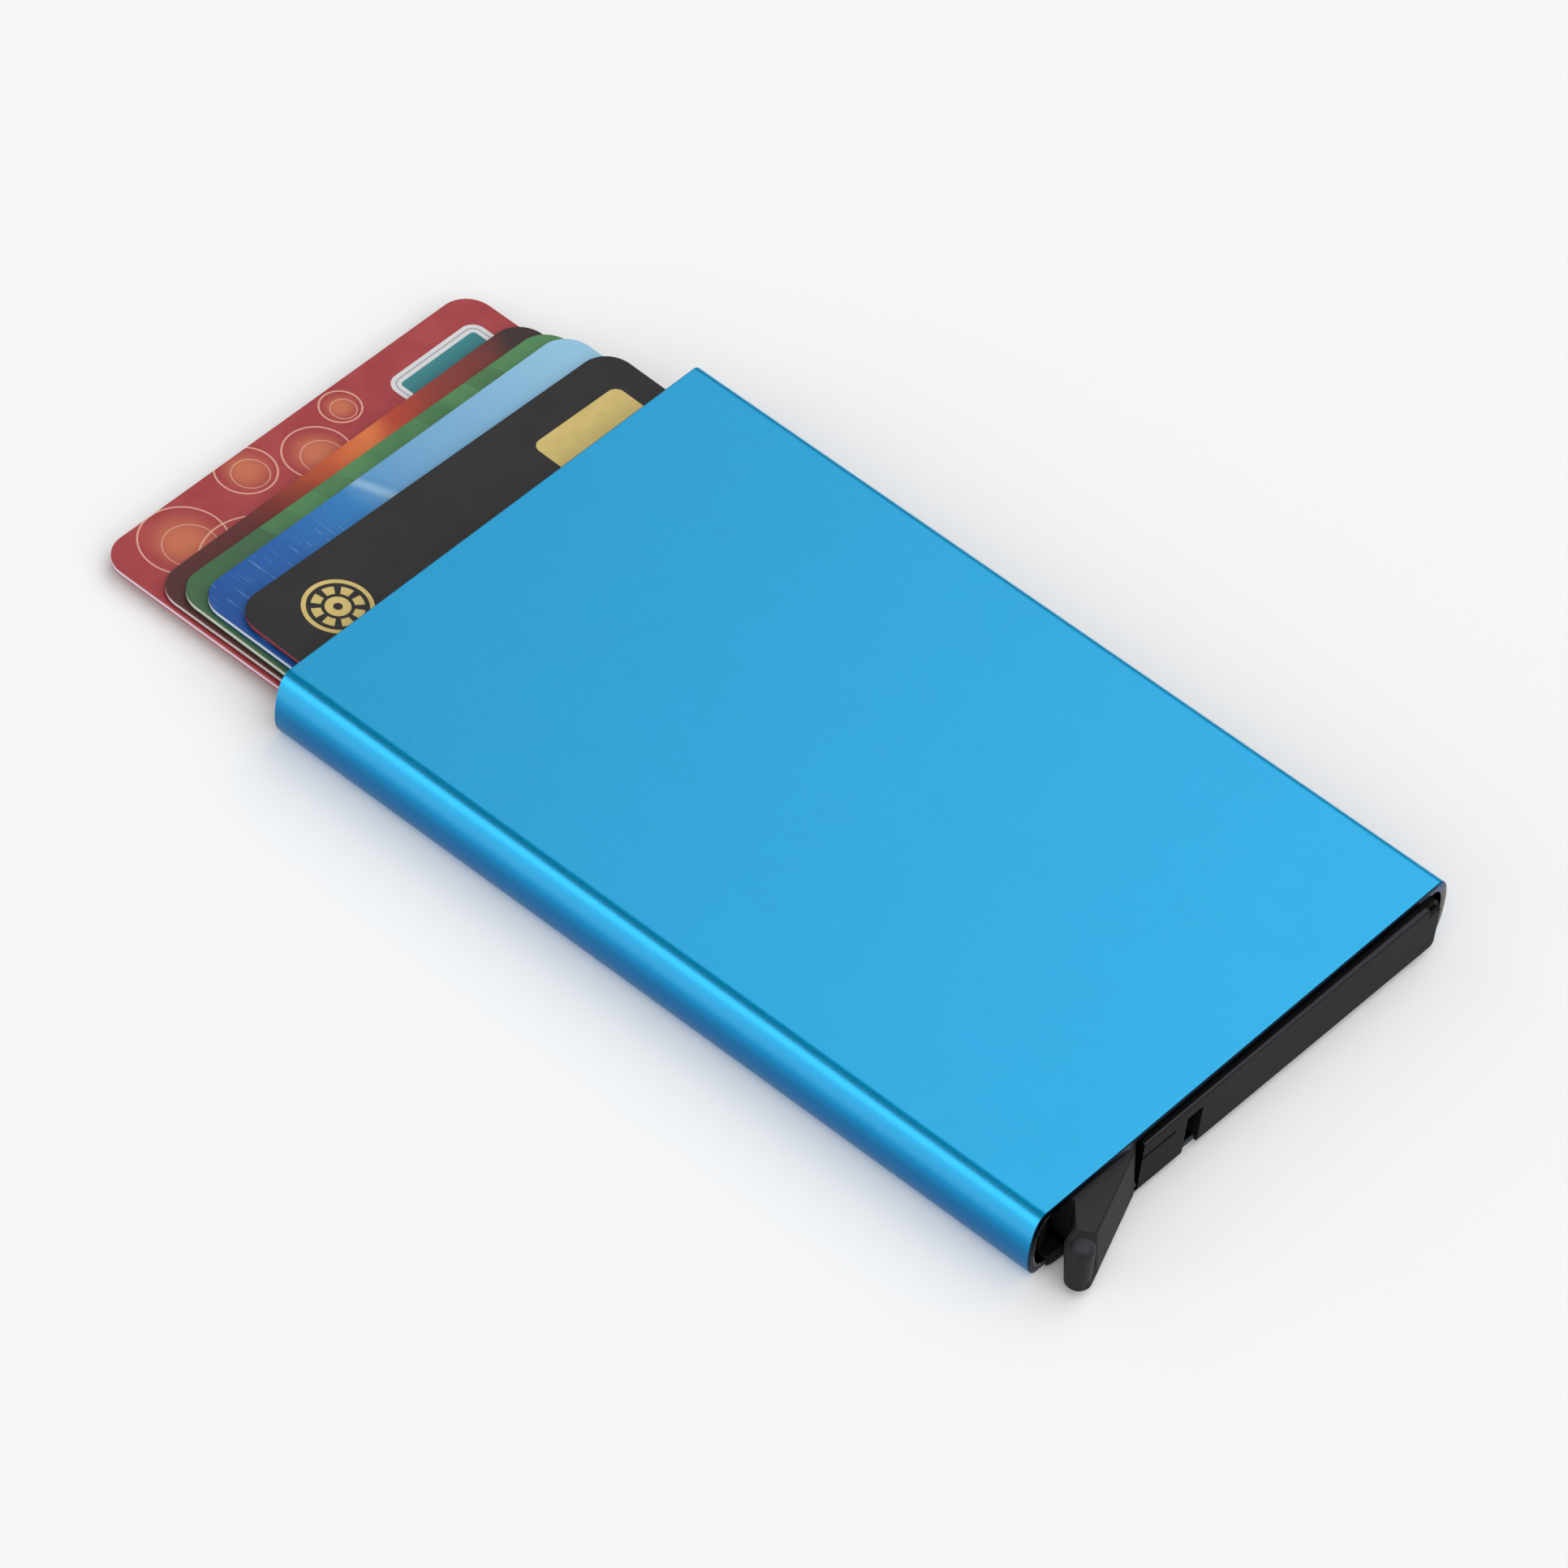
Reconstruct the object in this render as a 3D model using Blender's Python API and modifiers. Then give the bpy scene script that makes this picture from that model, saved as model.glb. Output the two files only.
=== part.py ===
"""Aluminium pop-up card wallet: an extruded sleeve, a moulded end cap with a stepped
ejector trigger on a steel pin, side liners, felt brakes and five bank-size cards.

Metres, +Z up. The origin is the centre of the sleeve's flat underside, +Y is the mouth
that the cards leave by, and the trigger sits in the -X corner of the capped -Y end.
"""
import math

import bmesh
import bpy
from mathutils import Matrix, Vector

# Cards, the standard bank card size, and the room that they need
CARD_LENGTH = 0.0856
CARD_WIDTH = 0.05398
CARD_THICKNESS = 0.00076
CARD_CORNER = 0.00318
CARD_GAP = 0.0001
CARD_FLOOR_GAP = 0.0004
CARD_TOP_ROOM = 0.0018
CARD_SIDE_ROOM = 0.00131
CARD_HOME_INSET = 0.0006
CARD_END_ROOM = 0.0010

# Bottom card first: reach past the mouth, sideways shift, and yaw in degrees
CARD_NAMES = ("card_1_red", "card_2_maroon", "card_3_green", "card_4_blue", "card_5_black")
CARD_REACHES = (0.0272, 0.0202, 0.0175, 0.0150, 0.0103)
CARD_SHIFTS = (-0.0005, -0.0003, 0.0002, 0.0005, 0.0010)
CARD_YAWS = (-0.25, 0.0, -1.0, -0.65, -1.3)

# Sleeve walls
FLAT_WALL = 0.0010
SIDE_WALL = 0.0015
SIDE_BULGE = 0.0015
RIM_CHAMFER = 0.00015

# Gaps between neighbours
SEAT_GAP = 0.0003
PIN_GAP = 0.0001
CUT_OVERRUN = 0.0010

# Side liners and felt brakes
LINER_THICKNESS = 0.0017
LINER_END_INSET = 0.0003
FELT_WIDTH = 0.0070
FELT_LENGTH = 0.0320
FELT_EDGE_INSET = 0.0025
FELT_MOUTH_INSET = 0.0020

# End cap: a plug in the sleeve behind a thin flange, which stands out more at its far end
CAP_DEPTH = 0.0090
CAP_WALL = 0.0009
CAP_ROOF = 0.0008
CAP_EAR = 0.0008
CAP_CHEEK = 0.0009
FLANGE_THICKNESS = 0.0008
FLANGE_TAPER = 0.00055
FLANGE_FILLET = 0.0003
FLANGE_SIDE_INSET = 0.00085
FLANGE_FLOOR_LAP = 0.00015
FLANGE_CEILING_LAP = 0.00005
FLANGE_CORNER = 0.0008
FLANGE_JOIN = 0.0001
NOTCH_WIDTH = 0.0019
NOTCH_HEIGHT = 0.0011
SILL_BOTTOM = 0.0001
SILL_CORNER_WIDTH = 0.0028
SILL_CORNER_HEIGHT = 0.0008
SILL_SPLIT = 0.0014
WINDOW_OFFSET = 0.0071
WINDOW_WIDTH = 0.0023
WINDOW_DROP = 0.0015
SLIT_LENGTH = 0.0054
SLIT_HEIGHT = 0.0003
SLIT_SINK = 0.0002
SLIT_DROP = 0.0018
CHEEK_SET_BACK = 0.0004

# Trigger, all about its pivot
PIVOT_INSET = 0.0045
PIVOT_DEPTH = 0.0053
HUB_RADIUS = 0.0030
PIN_RADIUS = 0.0010
ARM_END_ROOM = 0.00728
ARM_LIFT = 0.00045
NOSE_CLEARANCE = 0.0004
STEP_CLEARANCE = 0.0001
TIP_THICKNESS = 0.0024
TIP_ROUND = 0.0009
ROOT_RUN = 0.0052
HEAD_REACH = 0.0091
HEAD_OUT = 0.0008
HEAD_LEAN = 20.75
HEAD_WALL_RUN = 0.0126
HEAD_RAKE = 0.00065
HEAD_FILLET = 0.00045
HEAD_CORNER = 0.0006
HEAD_TOP_ANGLE = -30.0
NECK_X = 0.0002
NECK_Y = 0.0055
NUB_RADIUS = 0.00137
NUB_START_ANGLE = 110.0
NUB_SHOULDER_X = 0.0006
NUB_SHOULDER_Y = 0.0019
NUB_FOOT_DROP = 0.0004
NUB_FOOT_SINK = 0.0005
NUB_FOOT_INSET = 0.0001
NUB_FOOT_FILLET = 0.00035

# Return spring
WIRE_RADIUS = 0.0002
COIL_RADIUS = 0.0020
COIL_TURNS = 2
COIL_PITCH = 0.00085
COIL_POINTS_PER_TURN = 10
SPRING_LEG = 0.0046
SPRING_HOOK = 0.0040
POCKET_DEPTH = 0.0024
POCKET_WIDTH = 0.0009
SLOT_WIDTH = 0.0008

# Facet counts and modelling tolerances
SIDE_FACETS = 24
ROUND_FACETS = 32
CORNER_FACETS = 8
FILLET_SEGMENTS = 3
SHARP_ANGLE = 30.0
FLAT_ANGLE = 0.5
SWEEP_MARGIN = 3.0
FIT_PASSES = 8
WELD_DISTANCE = 0.000001
MILLIMETRE = 0.001

# Derived places: the sleeve is sized by the cards, and the rest by the sleeve
CARD_COUNT = len(CARD_NAMES)
CARD_PITCH = CARD_THICKNESS + CARD_GAP
STACK_HEIGHT = CARD_COUNT * CARD_THICKNESS + (CARD_COUNT - 1) * CARD_GAP
SLEEVE_WIDTH = CARD_WIDTH + 2 * (CARD_SIDE_ROOM + LINER_THICKNESS + SIDE_WALL)
SLEEVE_HEIGHT = 2 * FLAT_WALL + CARD_FLOOR_GAP + STACK_HEIGHT + CARD_TOP_ROOM
SLEEVE_LENGTH = CARD_LENGTH + CARD_HOME_INSET + CARD_END_ROOM + CAP_DEPTH
MOUTH_Y = SLEEVE_LENGTH / 2
CAP_END_Y = -SLEEVE_LENGTH / 2
FLOOR_Z = FLAT_WALL
CEILING_Z = SLEEVE_HEIGHT - FLAT_WALL
CARD_BOTTOM_Z = FLOOR_Z + CARD_FLOOR_GAP
INNER_HALF_WIDTH = SLEEVE_WIDTH / 2 - SIDE_WALL
INNER_BULGE = SIDE_BULGE - (SIDE_WALL - FLAT_WALL)
LINER_INNER_X = INNER_HALF_WIDTH - LINER_THICKNESS
PLUG_HALF_WIDTH = INNER_HALF_WIDTH - SEAT_GAP
PLUG_BOTTOM = FLOOR_Z + SEAT_GAP
PLUG_TOP = CEILING_Z - SEAT_GAP
PLUG_INNER_Y = CAP_END_Y + CAP_DEPTH
ROOF_Z = PLUG_TOP - CAP_ROOF
EAR_TOP = PLUG_BOTTOM + CAP_EAR
FLANGE_BACK_Y = CAP_END_Y - SEAT_GAP
FLANGE_FACE_Y = FLANGE_BACK_Y - FLANGE_THICKNESS
FLANGE_HALF_WIDTH = INNER_HALF_WIDTH - FLANGE_SIDE_INSET
FLANGE_BOTTOM = FLOOR_Z - FLANGE_FLOOR_LAP
FLANGE_TOP = CEILING_Z + FLANGE_CEILING_LAP
WALL_INNER_Y = FLANGE_BACK_Y + CAP_WALL
PIVOT = Vector((-INNER_HALF_WIDTH + PIVOT_INSET, CAP_END_Y + PIVOT_DEPTH, 0.0))
DOOR_RIGHT_X = PIVOT.x + HEAD_REACH
BORE_RADIUS = PIN_RADIUS + PIN_GAP
RELIEF_RADIUS = HUB_RADIUS + SEAT_GAP
HUB_BOTTOM = EAR_TOP + SEAT_GAP
ARM_BOTTOM = FLOOR_Z + ARM_LIFT
ARM_TOP = ROOF_Z - SEAT_GAP
ARM_LENGTH = 2 * INNER_HALF_WIDTH - PIVOT_INSET - ARM_END_ROOM
HEAD_BOTTOM = FLOOR_Z + SEAT_GAP
HEAD_TOP = PLUG_TOP
HEAD_FRONT = CAP_END_Y - HEAD_OUT - PIVOT.y
HEAD_RADIUS = math.hypot(HEAD_REACH, HEAD_FRONT)
SILL_TOP = HEAD_BOTTOM - SEAT_GAP
POCKET_FLOOR = ARM_TOP - POCKET_DEPTH
SPRING_BOTTOM = POCKET_FLOOR + SEAT_GAP + WIRE_RADIUS
SPRING_TOP = SPRING_BOTTOM + COIL_PITCH * COIL_TURNS + WIRE_RADIUS
GATE_REACH = HUB_RADIUS / 4

PARTS = "aluminium_card_wallet"
CUTTERS = "cutters"


def clear_scene():
    for item in list(bpy.data.objects):
        bpy.data.objects.remove(item, do_unlink=True)


def collection(name):
    group = bpy.data.collections.get(name)
    if group is None:
        group = bpy.data.collections.new(name)
        bpy.context.scene.collection.children.link(group)
    return group


def material(name, colour, roughness, metallic):
    made = bpy.data.materials.new(name)
    made.use_nodes = True
    surface = made.node_tree.nodes["Principled BSDF"]
    surface.inputs["Base Color"].default_value = (*colour, 1.0)
    surface.inputs["Roughness"].default_value = roughness
    surface.inputs["Metallic"].default_value = metallic
    return made


def polar(radius, degrees):
    angle = math.radians(degrees)
    return (radius * math.cos(angle), radius * math.sin(angle))


def arc(centre, radii, start, end, count):
    """Points on an elliptic arc, angles in degrees."""
    points = []
    for step in range(count + 1):
        angle = math.radians(start + (end - start) * step / count)
        points.append((centre[0] + radii[0] * math.cos(angle), centre[1] + radii[1] * math.sin(angle)))
    return points


def add_object(name, mesh, group):
    made = bpy.data.objects.new(name, mesh)
    collection(group).objects.link(made)
    if group == CUTTERS:
        made.hide_render = True
        made.display_type = "WIRE"
    return made


def from_bmesh(name, edit, group):
    mesh = bpy.data.meshes.new(name)
    edit.to_mesh(mesh)
    edit.free()
    return add_object(name, mesh, group)


def extrude_outline(name, outlines, low, high, group=PARTS, along_y=False):
    """Close flat outlines into a solid, from low to high along Z, or along Y for X-Z outlines."""
    curve = bpy.data.curves.new(name, "CURVE")
    curve.dimensions = "2D"
    curve.fill_mode = "BOTH"
    curve.extrude = (high - low) / 2
    for outline in outlines:
        spline = curve.splines.new("POLY")
        spline.points.add(len(outline) - 1)
        for point, place in zip(spline.points, outline):
            point.co = (place[0], place[1], 0.0, 1.0)
        spline.use_cyclic_u = True
    drawn = bpy.data.objects.new(name, curve)
    collection(group).objects.link(drawn)
    seen = drawn.evaluated_get(bpy.context.evaluated_depsgraph_get())
    mesh = bpy.data.meshes.new_from_object(seen)
    bpy.data.objects.remove(drawn, do_unlink=True)
    middle = (high + low) / 2
    if along_y:
        mesh.transform(Matrix.Translation((0.0, middle, 0.0)) @ Matrix.Rotation(math.radians(90.0), 4, "X"))
    else:
        mesh.transform(Matrix.Translation((0.0, 0.0, middle)))
    edit = bmesh.new()
    edit.from_mesh(mesh)
    bmesh.ops.remove_doubles(edit, verts=edit.verts, dist=WELD_DISTANCE)
    if len(outlines) == 1:
        bmesh.ops.dissolve_limit(
            edit, angle_limit=math.radians(FLAT_ANGLE), verts=edit.verts, edges=edit.edges
        )
    bmesh.ops.recalc_face_normals(edit, faces=edit.faces)
    return from_bmesh(name, edit, group)


def box(name, low, high, group=CUTTERS):
    edit = bmesh.new()
    bmesh.ops.create_cube(edit, size=1.0)
    middle = [(a + b) / 2 for a, b in zip(low, high)]
    spans = [b - a for a, b in zip(low, high)]
    bmesh.ops.transform(
        edit, matrix=Matrix.Translation(middle) @ Matrix.Diagonal((*spans, 1.0)), verts=edit.verts
    )
    return from_bmesh(name, edit, group)


def cylinder(name, centre, radius, low, high, group=CUTTERS):
    edit = bmesh.new()
    bmesh.ops.create_cone(
        edit, cap_ends=True, segments=ROUND_FACETS, radius1=radius, radius2=radius, depth=high - low
    )
    place = Matrix.Translation((centre[0], centre[1], (low + high) / 2))
    bmesh.ops.transform(edit, matrix=place, verts=edit.verts)
    return from_bmesh(name, edit, group)


def combine(target, other, operation):
    step = target.modifiers.new(other.name, "BOOLEAN")
    step.operation = operation
    step.solver = "EXACT"
    step.object = other


def cut(target, *cutters):
    for cutter in cutters:
        combine(target, cutter, "DIFFERENCE")


def bevel(target, width, segments):
    step = target.modifiers.new("edge", "BEVEL")
    step.width = width
    step.segments = segments
    step.limit_method = "ANGLE"
    step.angle_limit = math.radians(SHARP_ANGLE)


def freeze(target):
    """Turn the modifiers into mesh, so that the result can be shaped further."""
    seen = target.evaluated_get(bpy.context.evaluated_depsgraph_get())
    mesh = bpy.data.meshes.new_from_object(seen)
    target.modifiers.clear()
    target.data = mesh


def finish(target, look):
    target.data.materials.clear()
    target.data.materials.append(look)
    target.data.shade_smooth()
    target.data.set_sharp_from_angle(angle=math.radians(SHARP_ANGLE))
    return target


def tube_section(half_width, low, high, bulge):
    """X-Z outline with flat top and bottom and softly bulging sides."""
    middle = (low + high) / 2
    reach = (bulge, (high - low) / 2)
    right = arc((half_width - bulge, middle), reach, -90.0, 90.0, SIDE_FACETS)
    left = arc((-half_width + bulge, middle), reach, 90.0, 270.0, SIDE_FACETS)
    return right + left


def make_sleeve(look):
    outer = tube_section(SLEEVE_WIDTH / 2, 0.0, SLEEVE_HEIGHT, SIDE_BULGE)
    inner = tube_section(INNER_HALF_WIDTH, FLOOR_Z, CEILING_Z, INNER_BULGE)
    sleeve = extrude_outline("sleeve", [outer, inner], CAP_END_Y, MOUTH_Y, along_y=True)
    bevel(sleeve, RIM_CHAMFER, 2)
    return finish(sleeve, look)


def flange_outline():
    """X-Z outline of the flange: round lower right, notched upper right, deep sill at the trigger."""
    right = FLANGE_HALF_WIDTH
    corner = (FLANGE_CORNER, FLANGE_CORNER)
    sill = (SILL_CORNER_WIDTH, SILL_CORNER_HEIGHT)
    points = arc((right - FLANGE_CORNER, FLANGE_BOTTOM + FLANGE_CORNER), corner, -90.0, 0.0, CORNER_FACETS)
    points.append((right, FLANGE_TOP - NOTCH_HEIGHT))
    points.append((right - NOTCH_WIDTH, FLANGE_TOP - NOTCH_HEIGHT))
    points.append((right - NOTCH_WIDTH, FLANGE_TOP))
    points.append((-right, FLANGE_TOP))
    sill_centre = (-right + SILL_CORNER_WIDTH, SILL_BOTTOM + SILL_CORNER_HEIGHT)
    points += arc(sill_centre, sill, 180.0, 270.0, CORNER_FACETS)
    points.append((DOOR_RIGHT_X, SILL_BOTTOM))
    points.append((DOOR_RIGHT_X, FLANGE_BOTTOM))
    return points


def taper_flange(flange):
    """Thin the flange evenly towards the trigger, with its back left square."""
    edit = bmesh.new()
    edit.from_mesh(flange.data)
    bmesh.ops.triangulate(edit, faces=edit.faces)
    for vert in edit.verts:
        along = (FLANGE_HALF_WIDTH - vert.co.x) / (2 * FLANGE_HALF_WIDTH)
        depth = (FLANGE_BACK_Y - vert.co.y) / FLANGE_THICKNESS
        vert.co.y += FLANGE_TAPER * along * depth
    edit.to_mesh(flange.data)
    edit.free()


def opening_outline(front_y, left_side, ease):
    """Plan of the room that the trigger's head sweeps, from front_y inwards, eased at its round walls."""
    centre = (PIVOT.x, PIVOT.y)
    outer = HEAD_RADIUS + SEAT_GAP + ease
    inner = RELIEF_RADIUS + ease
    first = -math.degrees(math.asin((PIVOT.y - front_y) / outer))
    last = HEAD_TOP_ANGLE + trigger_travel() + SWEEP_MARGIN + math.degrees(ease / inner)
    points = arc(centre, (outer, outer), first, last, ROUND_FACETS)
    points += arc(centre, (inner, inner), last, -90.0, ROUND_FACETS)
    return points + left_side


def make_end_cap(look):
    flange = extrude_outline("end_cap", [flange_outline()], FLANGE_FACE_Y, FLANGE_BACK_Y, along_y=True)
    bevel(flange, FLANGE_FILLET, 2)
    freeze(flange)
    taper_flange(flange)
    section = tube_section(PLUG_HALF_WIDTH, PLUG_BOTTOM, PLUG_TOP, INNER_BULGE)
    plug = extrude_outline(
        "cap_plug", [section], FLANGE_BACK_Y - FLANGE_JOIN, PLUG_INNER_Y, CUTTERS, along_y=True
    )
    combine(flange, plug, "UNION")

    front_y = FLANGE_FACE_Y - CUT_OVERRUN
    open_y = PLUG_INNER_Y + CUT_OVERRUN
    under = -CUT_OVERRUN
    over = FLANGE_TOP + CUT_OVERRUN
    far_left = -SLEEVE_WIDTH / 2
    split_x = PIVOT.x - SILL_SPLIT
    room_left = CAP_CHEEK - PLUG_HALF_WIDTH
    room_right = PIVOT.x + math.hypot(ARM_LENGTH, HUB_RADIUS) + SEAT_GAP
    room = box("cap_room", (room_left, WALL_INNER_Y, EAR_TOP), (room_right, open_y, ROOF_Z))
    swept_x = PIVOT.x - (open_y - PIVOT.y) * math.tan(math.radians(trigger_travel()))
    lower_outline = [
        (PIVOT.x, WALL_INNER_Y),
        (room_right, WALL_INNER_Y),
        (room_right, open_y),
        (swept_x, open_y),
        (PIVOT.x, PIVOT.y),
    ]
    lower = extrude_outline("cap_lower", [lower_outline], under, EAR_TOP + PIN_GAP, CUTTERS)
    ear = cylinder("cap_ear", PIVOT, HUB_RADIUS, under - CUT_OVERRUN, EAR_TOP + CUT_OVERRUN)
    cut(lower, ear)
    door_left = room_left - PIN_GAP
    lip_y = CAP_END_Y + CHEEK_SET_BACK
    inner_y = PIVOT.y - RELIEF_RADIUS
    cheek_side = [(door_left, inner_y), (door_left, lip_y), (far_left, lip_y), (far_left, front_y)]
    door_low = EAR_TOP + PIN_GAP
    door = extrude_outline("cap_door", [opening_outline(front_y, cheek_side, 0.0)], door_low, over, CUTTERS)
    foot_side = [(split_x, inner_y - PIN_GAP), (split_x, front_y)]
    door_foot = extrude_outline(
        "cap_door_foot", [opening_outline(front_y, foot_side, PIN_GAP)], SILL_TOP, door_low + PIN_GAP,
        CUTTERS,
    )
    sill_left = split_x + PIN_GAP
    sill_side = [(sill_left, inner_y - 2 * PIN_GAP), (sill_left, FLANGE_BACK_Y)]
    behind_sill = extrude_outline(
        "cap_behind_sill", [opening_outline(FLANGE_BACK_Y, sill_side, 2 * PIN_GAP)], under,
        SILL_TOP + PIN_GAP, CUTTERS,
    )
    bore = cylinder("cap_bore", PIVOT, BORE_RADIUS, under, over)
    window_x = DOOR_RIGHT_X + WINDOW_OFFSET
    window = box(
        "cap_window",
        (window_x, front_y, under),
        (window_x + WINDOW_WIDTH, WALL_INNER_Y + CUT_OVERRUN, FLANGE_TOP - WINDOW_DROP),
    )
    slit_top = FLANGE_TOP - SLIT_DROP
    slit = box(
        "cap_slit",
        (DOOR_RIGHT_X, front_y, slit_top - SLIT_HEIGHT),
        (DOOR_RIGHT_X + SLIT_LENGTH, FLANGE_BACK_Y + SLIT_SINK, slit_top),
    )
    hook_y = PIVOT.y + COIL_RADIUS
    hook_slot = box(
        "cap_hook_slot",
        (far_left, hook_y - SLOT_WIDTH / 2, SPRING_TOP - SLOT_WIDTH),
        (room_left + SEAT_GAP, hook_y + SLOT_WIDTH / 2, ROOF_Z - PIN_GAP),
    )
    cut(flange, room, lower, door, door_foot, behind_sill, bore, window, slit, hook_slot)
    return finish(flange, look)


def card_end_y(index, at_x):
    """Y of a card's inner end, where its line passes at_x."""
    lean = math.radians(CARD_YAWS[index])
    inner_x = CARD_SHIFTS[index] + CARD_LENGTH * math.sin(lean)
    inner_y = MOUTH_Y + CARD_REACHES[index] - CARD_LENGTH * math.cos(lean)
    return inner_y + (at_x - inner_x) * math.tan(lean)


def trigger_travel():
    """Degrees that the trigger turns until the tip of its arm has pushed the bottom card out."""
    radius = math.hypot(ARM_LENGTH, HUB_RADIUS)
    corner = math.atan2(HUB_RADIUS, ARM_LENGTH)
    turn = 0.0
    for _ in range(FIT_PASSES):
        tip_x = PIVOT.x + radius * math.cos(turn + corner)
        rise = card_end_y(0, tip_x) - NOSE_CLEARANCE - PIVOT.y
        turn = math.asin(rise / radius) - corner
    return math.degrees(turn)


def nose_lengths():
    """How far along the arm each card's nose sits, bottom card first.

    At full travel each nose stops just short of the inner end of its card.
    """
    turn = math.radians(trigger_travel())
    lengths = []
    for index in range(CARD_COUNT):
        length = 0.0
        for _ in range(FIT_PASSES):
            nose_x = PIVOT.x + length * math.cos(turn) - HUB_RADIUS * math.sin(turn)
            rise = card_end_y(index, nose_x) - NOSE_CLEARANCE - PIVOT.y
            length = (rise - HUB_RADIUS * math.cos(turn)) / math.sin(turn)
        lengths.append(length)
    return lengths


def arm_outline():
    """Plan of hub and arm about the pivot; the arm tapers to its tip along +X."""
    wall_y = WALL_INNER_Y + SEAT_GAP - PIVOT.y
    tip_centre = (ARM_LENGTH - TIP_ROUND, HUB_RADIUS - TIP_ROUND)
    points = arc(tip_centre, (TIP_ROUND, TIP_ROUND), 90.0, 0.0, CORNER_FACETS)
    points.append((ARM_LENGTH, HUB_RADIUS - TIP_THICKNESS))
    points.append((HEAD_REACH + ROOT_RUN, wall_y))
    points.append((NECK_X, wall_y))
    return points + arc((0.0, 0.0), (HUB_RADIUS, HUB_RADIUS), -90.0, -270.0, ROUND_FACETS // 2)


def nub_centre():
    """Centre of the round nub that ends the thumb's leaning front wall."""
    lean = math.radians(HEAD_LEAN)
    end_x = HEAD_REACH - HEAD_WALL_RUN * math.cos(lean)
    end_y = HEAD_FRONT - HEAD_WALL_RUN * math.sin(lean)
    return (end_x - NUB_RADIUS * math.sin(lean), end_y + NUB_RADIUS * math.cos(lean))


def head_outline():
    """Plan of the thumb head: its front wall leans out from the flange's face and runs into the nub."""
    rim = RELIEF_RADIUS + SEAT_GAP
    nub_x, nub_y = nub_centre()
    points = [(HEAD_REACH, HEAD_FRONT), polar(HEAD_RADIUS, HEAD_TOP_ANGLE)]
    points += arc((0.0, 0.0), (rim, rim), HEAD_TOP_ANGLE, -90.0, ROUND_FACETS // 2)
    points += [(-NECK_X, -NECK_Y), (nub_x + NUB_SHOULDER_X, nub_y + NUB_SHOULDER_Y)]
    wall_angle = 270.0 + HEAD_LEAN
    return points + arc((nub_x, nub_y), (NUB_RADIUS, NUB_RADIUS), NUB_START_ANGLE, wall_angle, ROUND_FACETS // 2)


def shape_head(head):
    """Round the front corner, lean the front wall in, then soften the top outside the sleeve."""
    edit = bmesh.new()
    edit.from_mesh(head.data)
    front = [edge for edge in edit.edges if all(
        math.hypot(vert.co.x - HEAD_REACH, vert.co.y - HEAD_FRONT) < WELD_DISTANCE for vert in edge.verts
    )]
    bmesh.ops.bevel(
        edit, geom=front, offset=HEAD_CORNER, segments=FILLET_SEGMENTS, profile=0.5, affect="EDGES",
        material=-1,
    )
    wall_slope = math.tan(math.radians(HEAD_LEAN))
    nub = Vector(nub_centre())
    for vert in edit.verts:
        wall_y = HEAD_FRONT - (HEAD_REACH - vert.co.x) * wall_slope
        in_nub = (vert.co.xy - nub).length < NUB_RADIUS + PIN_GAP
        if in_nub or vert.co.y < wall_y + HEAD_CORNER:
            vert.co.y += HEAD_RAKE * (vert.co.z - HEAD_BOTTOM) / (HEAD_TOP - HEAD_BOTTOM)
    top = [edge for edge in edit.edges if all(
        vert.co.z > HEAD_TOP - WELD_DISTANCE and vert.co.y < HEAD_FILLET - NECK_Y for vert in edge.verts
    )]
    bmesh.ops.bevel(
        edit, geom=top, offset=HEAD_FILLET, segments=FILLET_SEGMENTS, profile=0.5, affect="EDGES",
        material=-1,
    )
    bmesh.ops.triangulate(edit, faces=edit.faces)
    edit.to_mesh(head.data)
    edit.free()


def step_cutters(noses):
    """Boxes that cut the arm down outside each card's nose, one step under each card but the top one."""
    far = noses[0] + CUT_OVERRUN
    over = HEAD_TOP + CUT_OVERRUN
    reach = 2 * HUB_RADIUS
    made = []
    for step in range(1, CARD_COUNT):
        low = CARD_BOTTOM_Z + CARD_PITCH * step - CARD_GAP - STEP_CLEARANCE
        made.append(box("trigger_step_" + str(step), (noses[step], -reach, low), (far, reach, over)))
    return made


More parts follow.
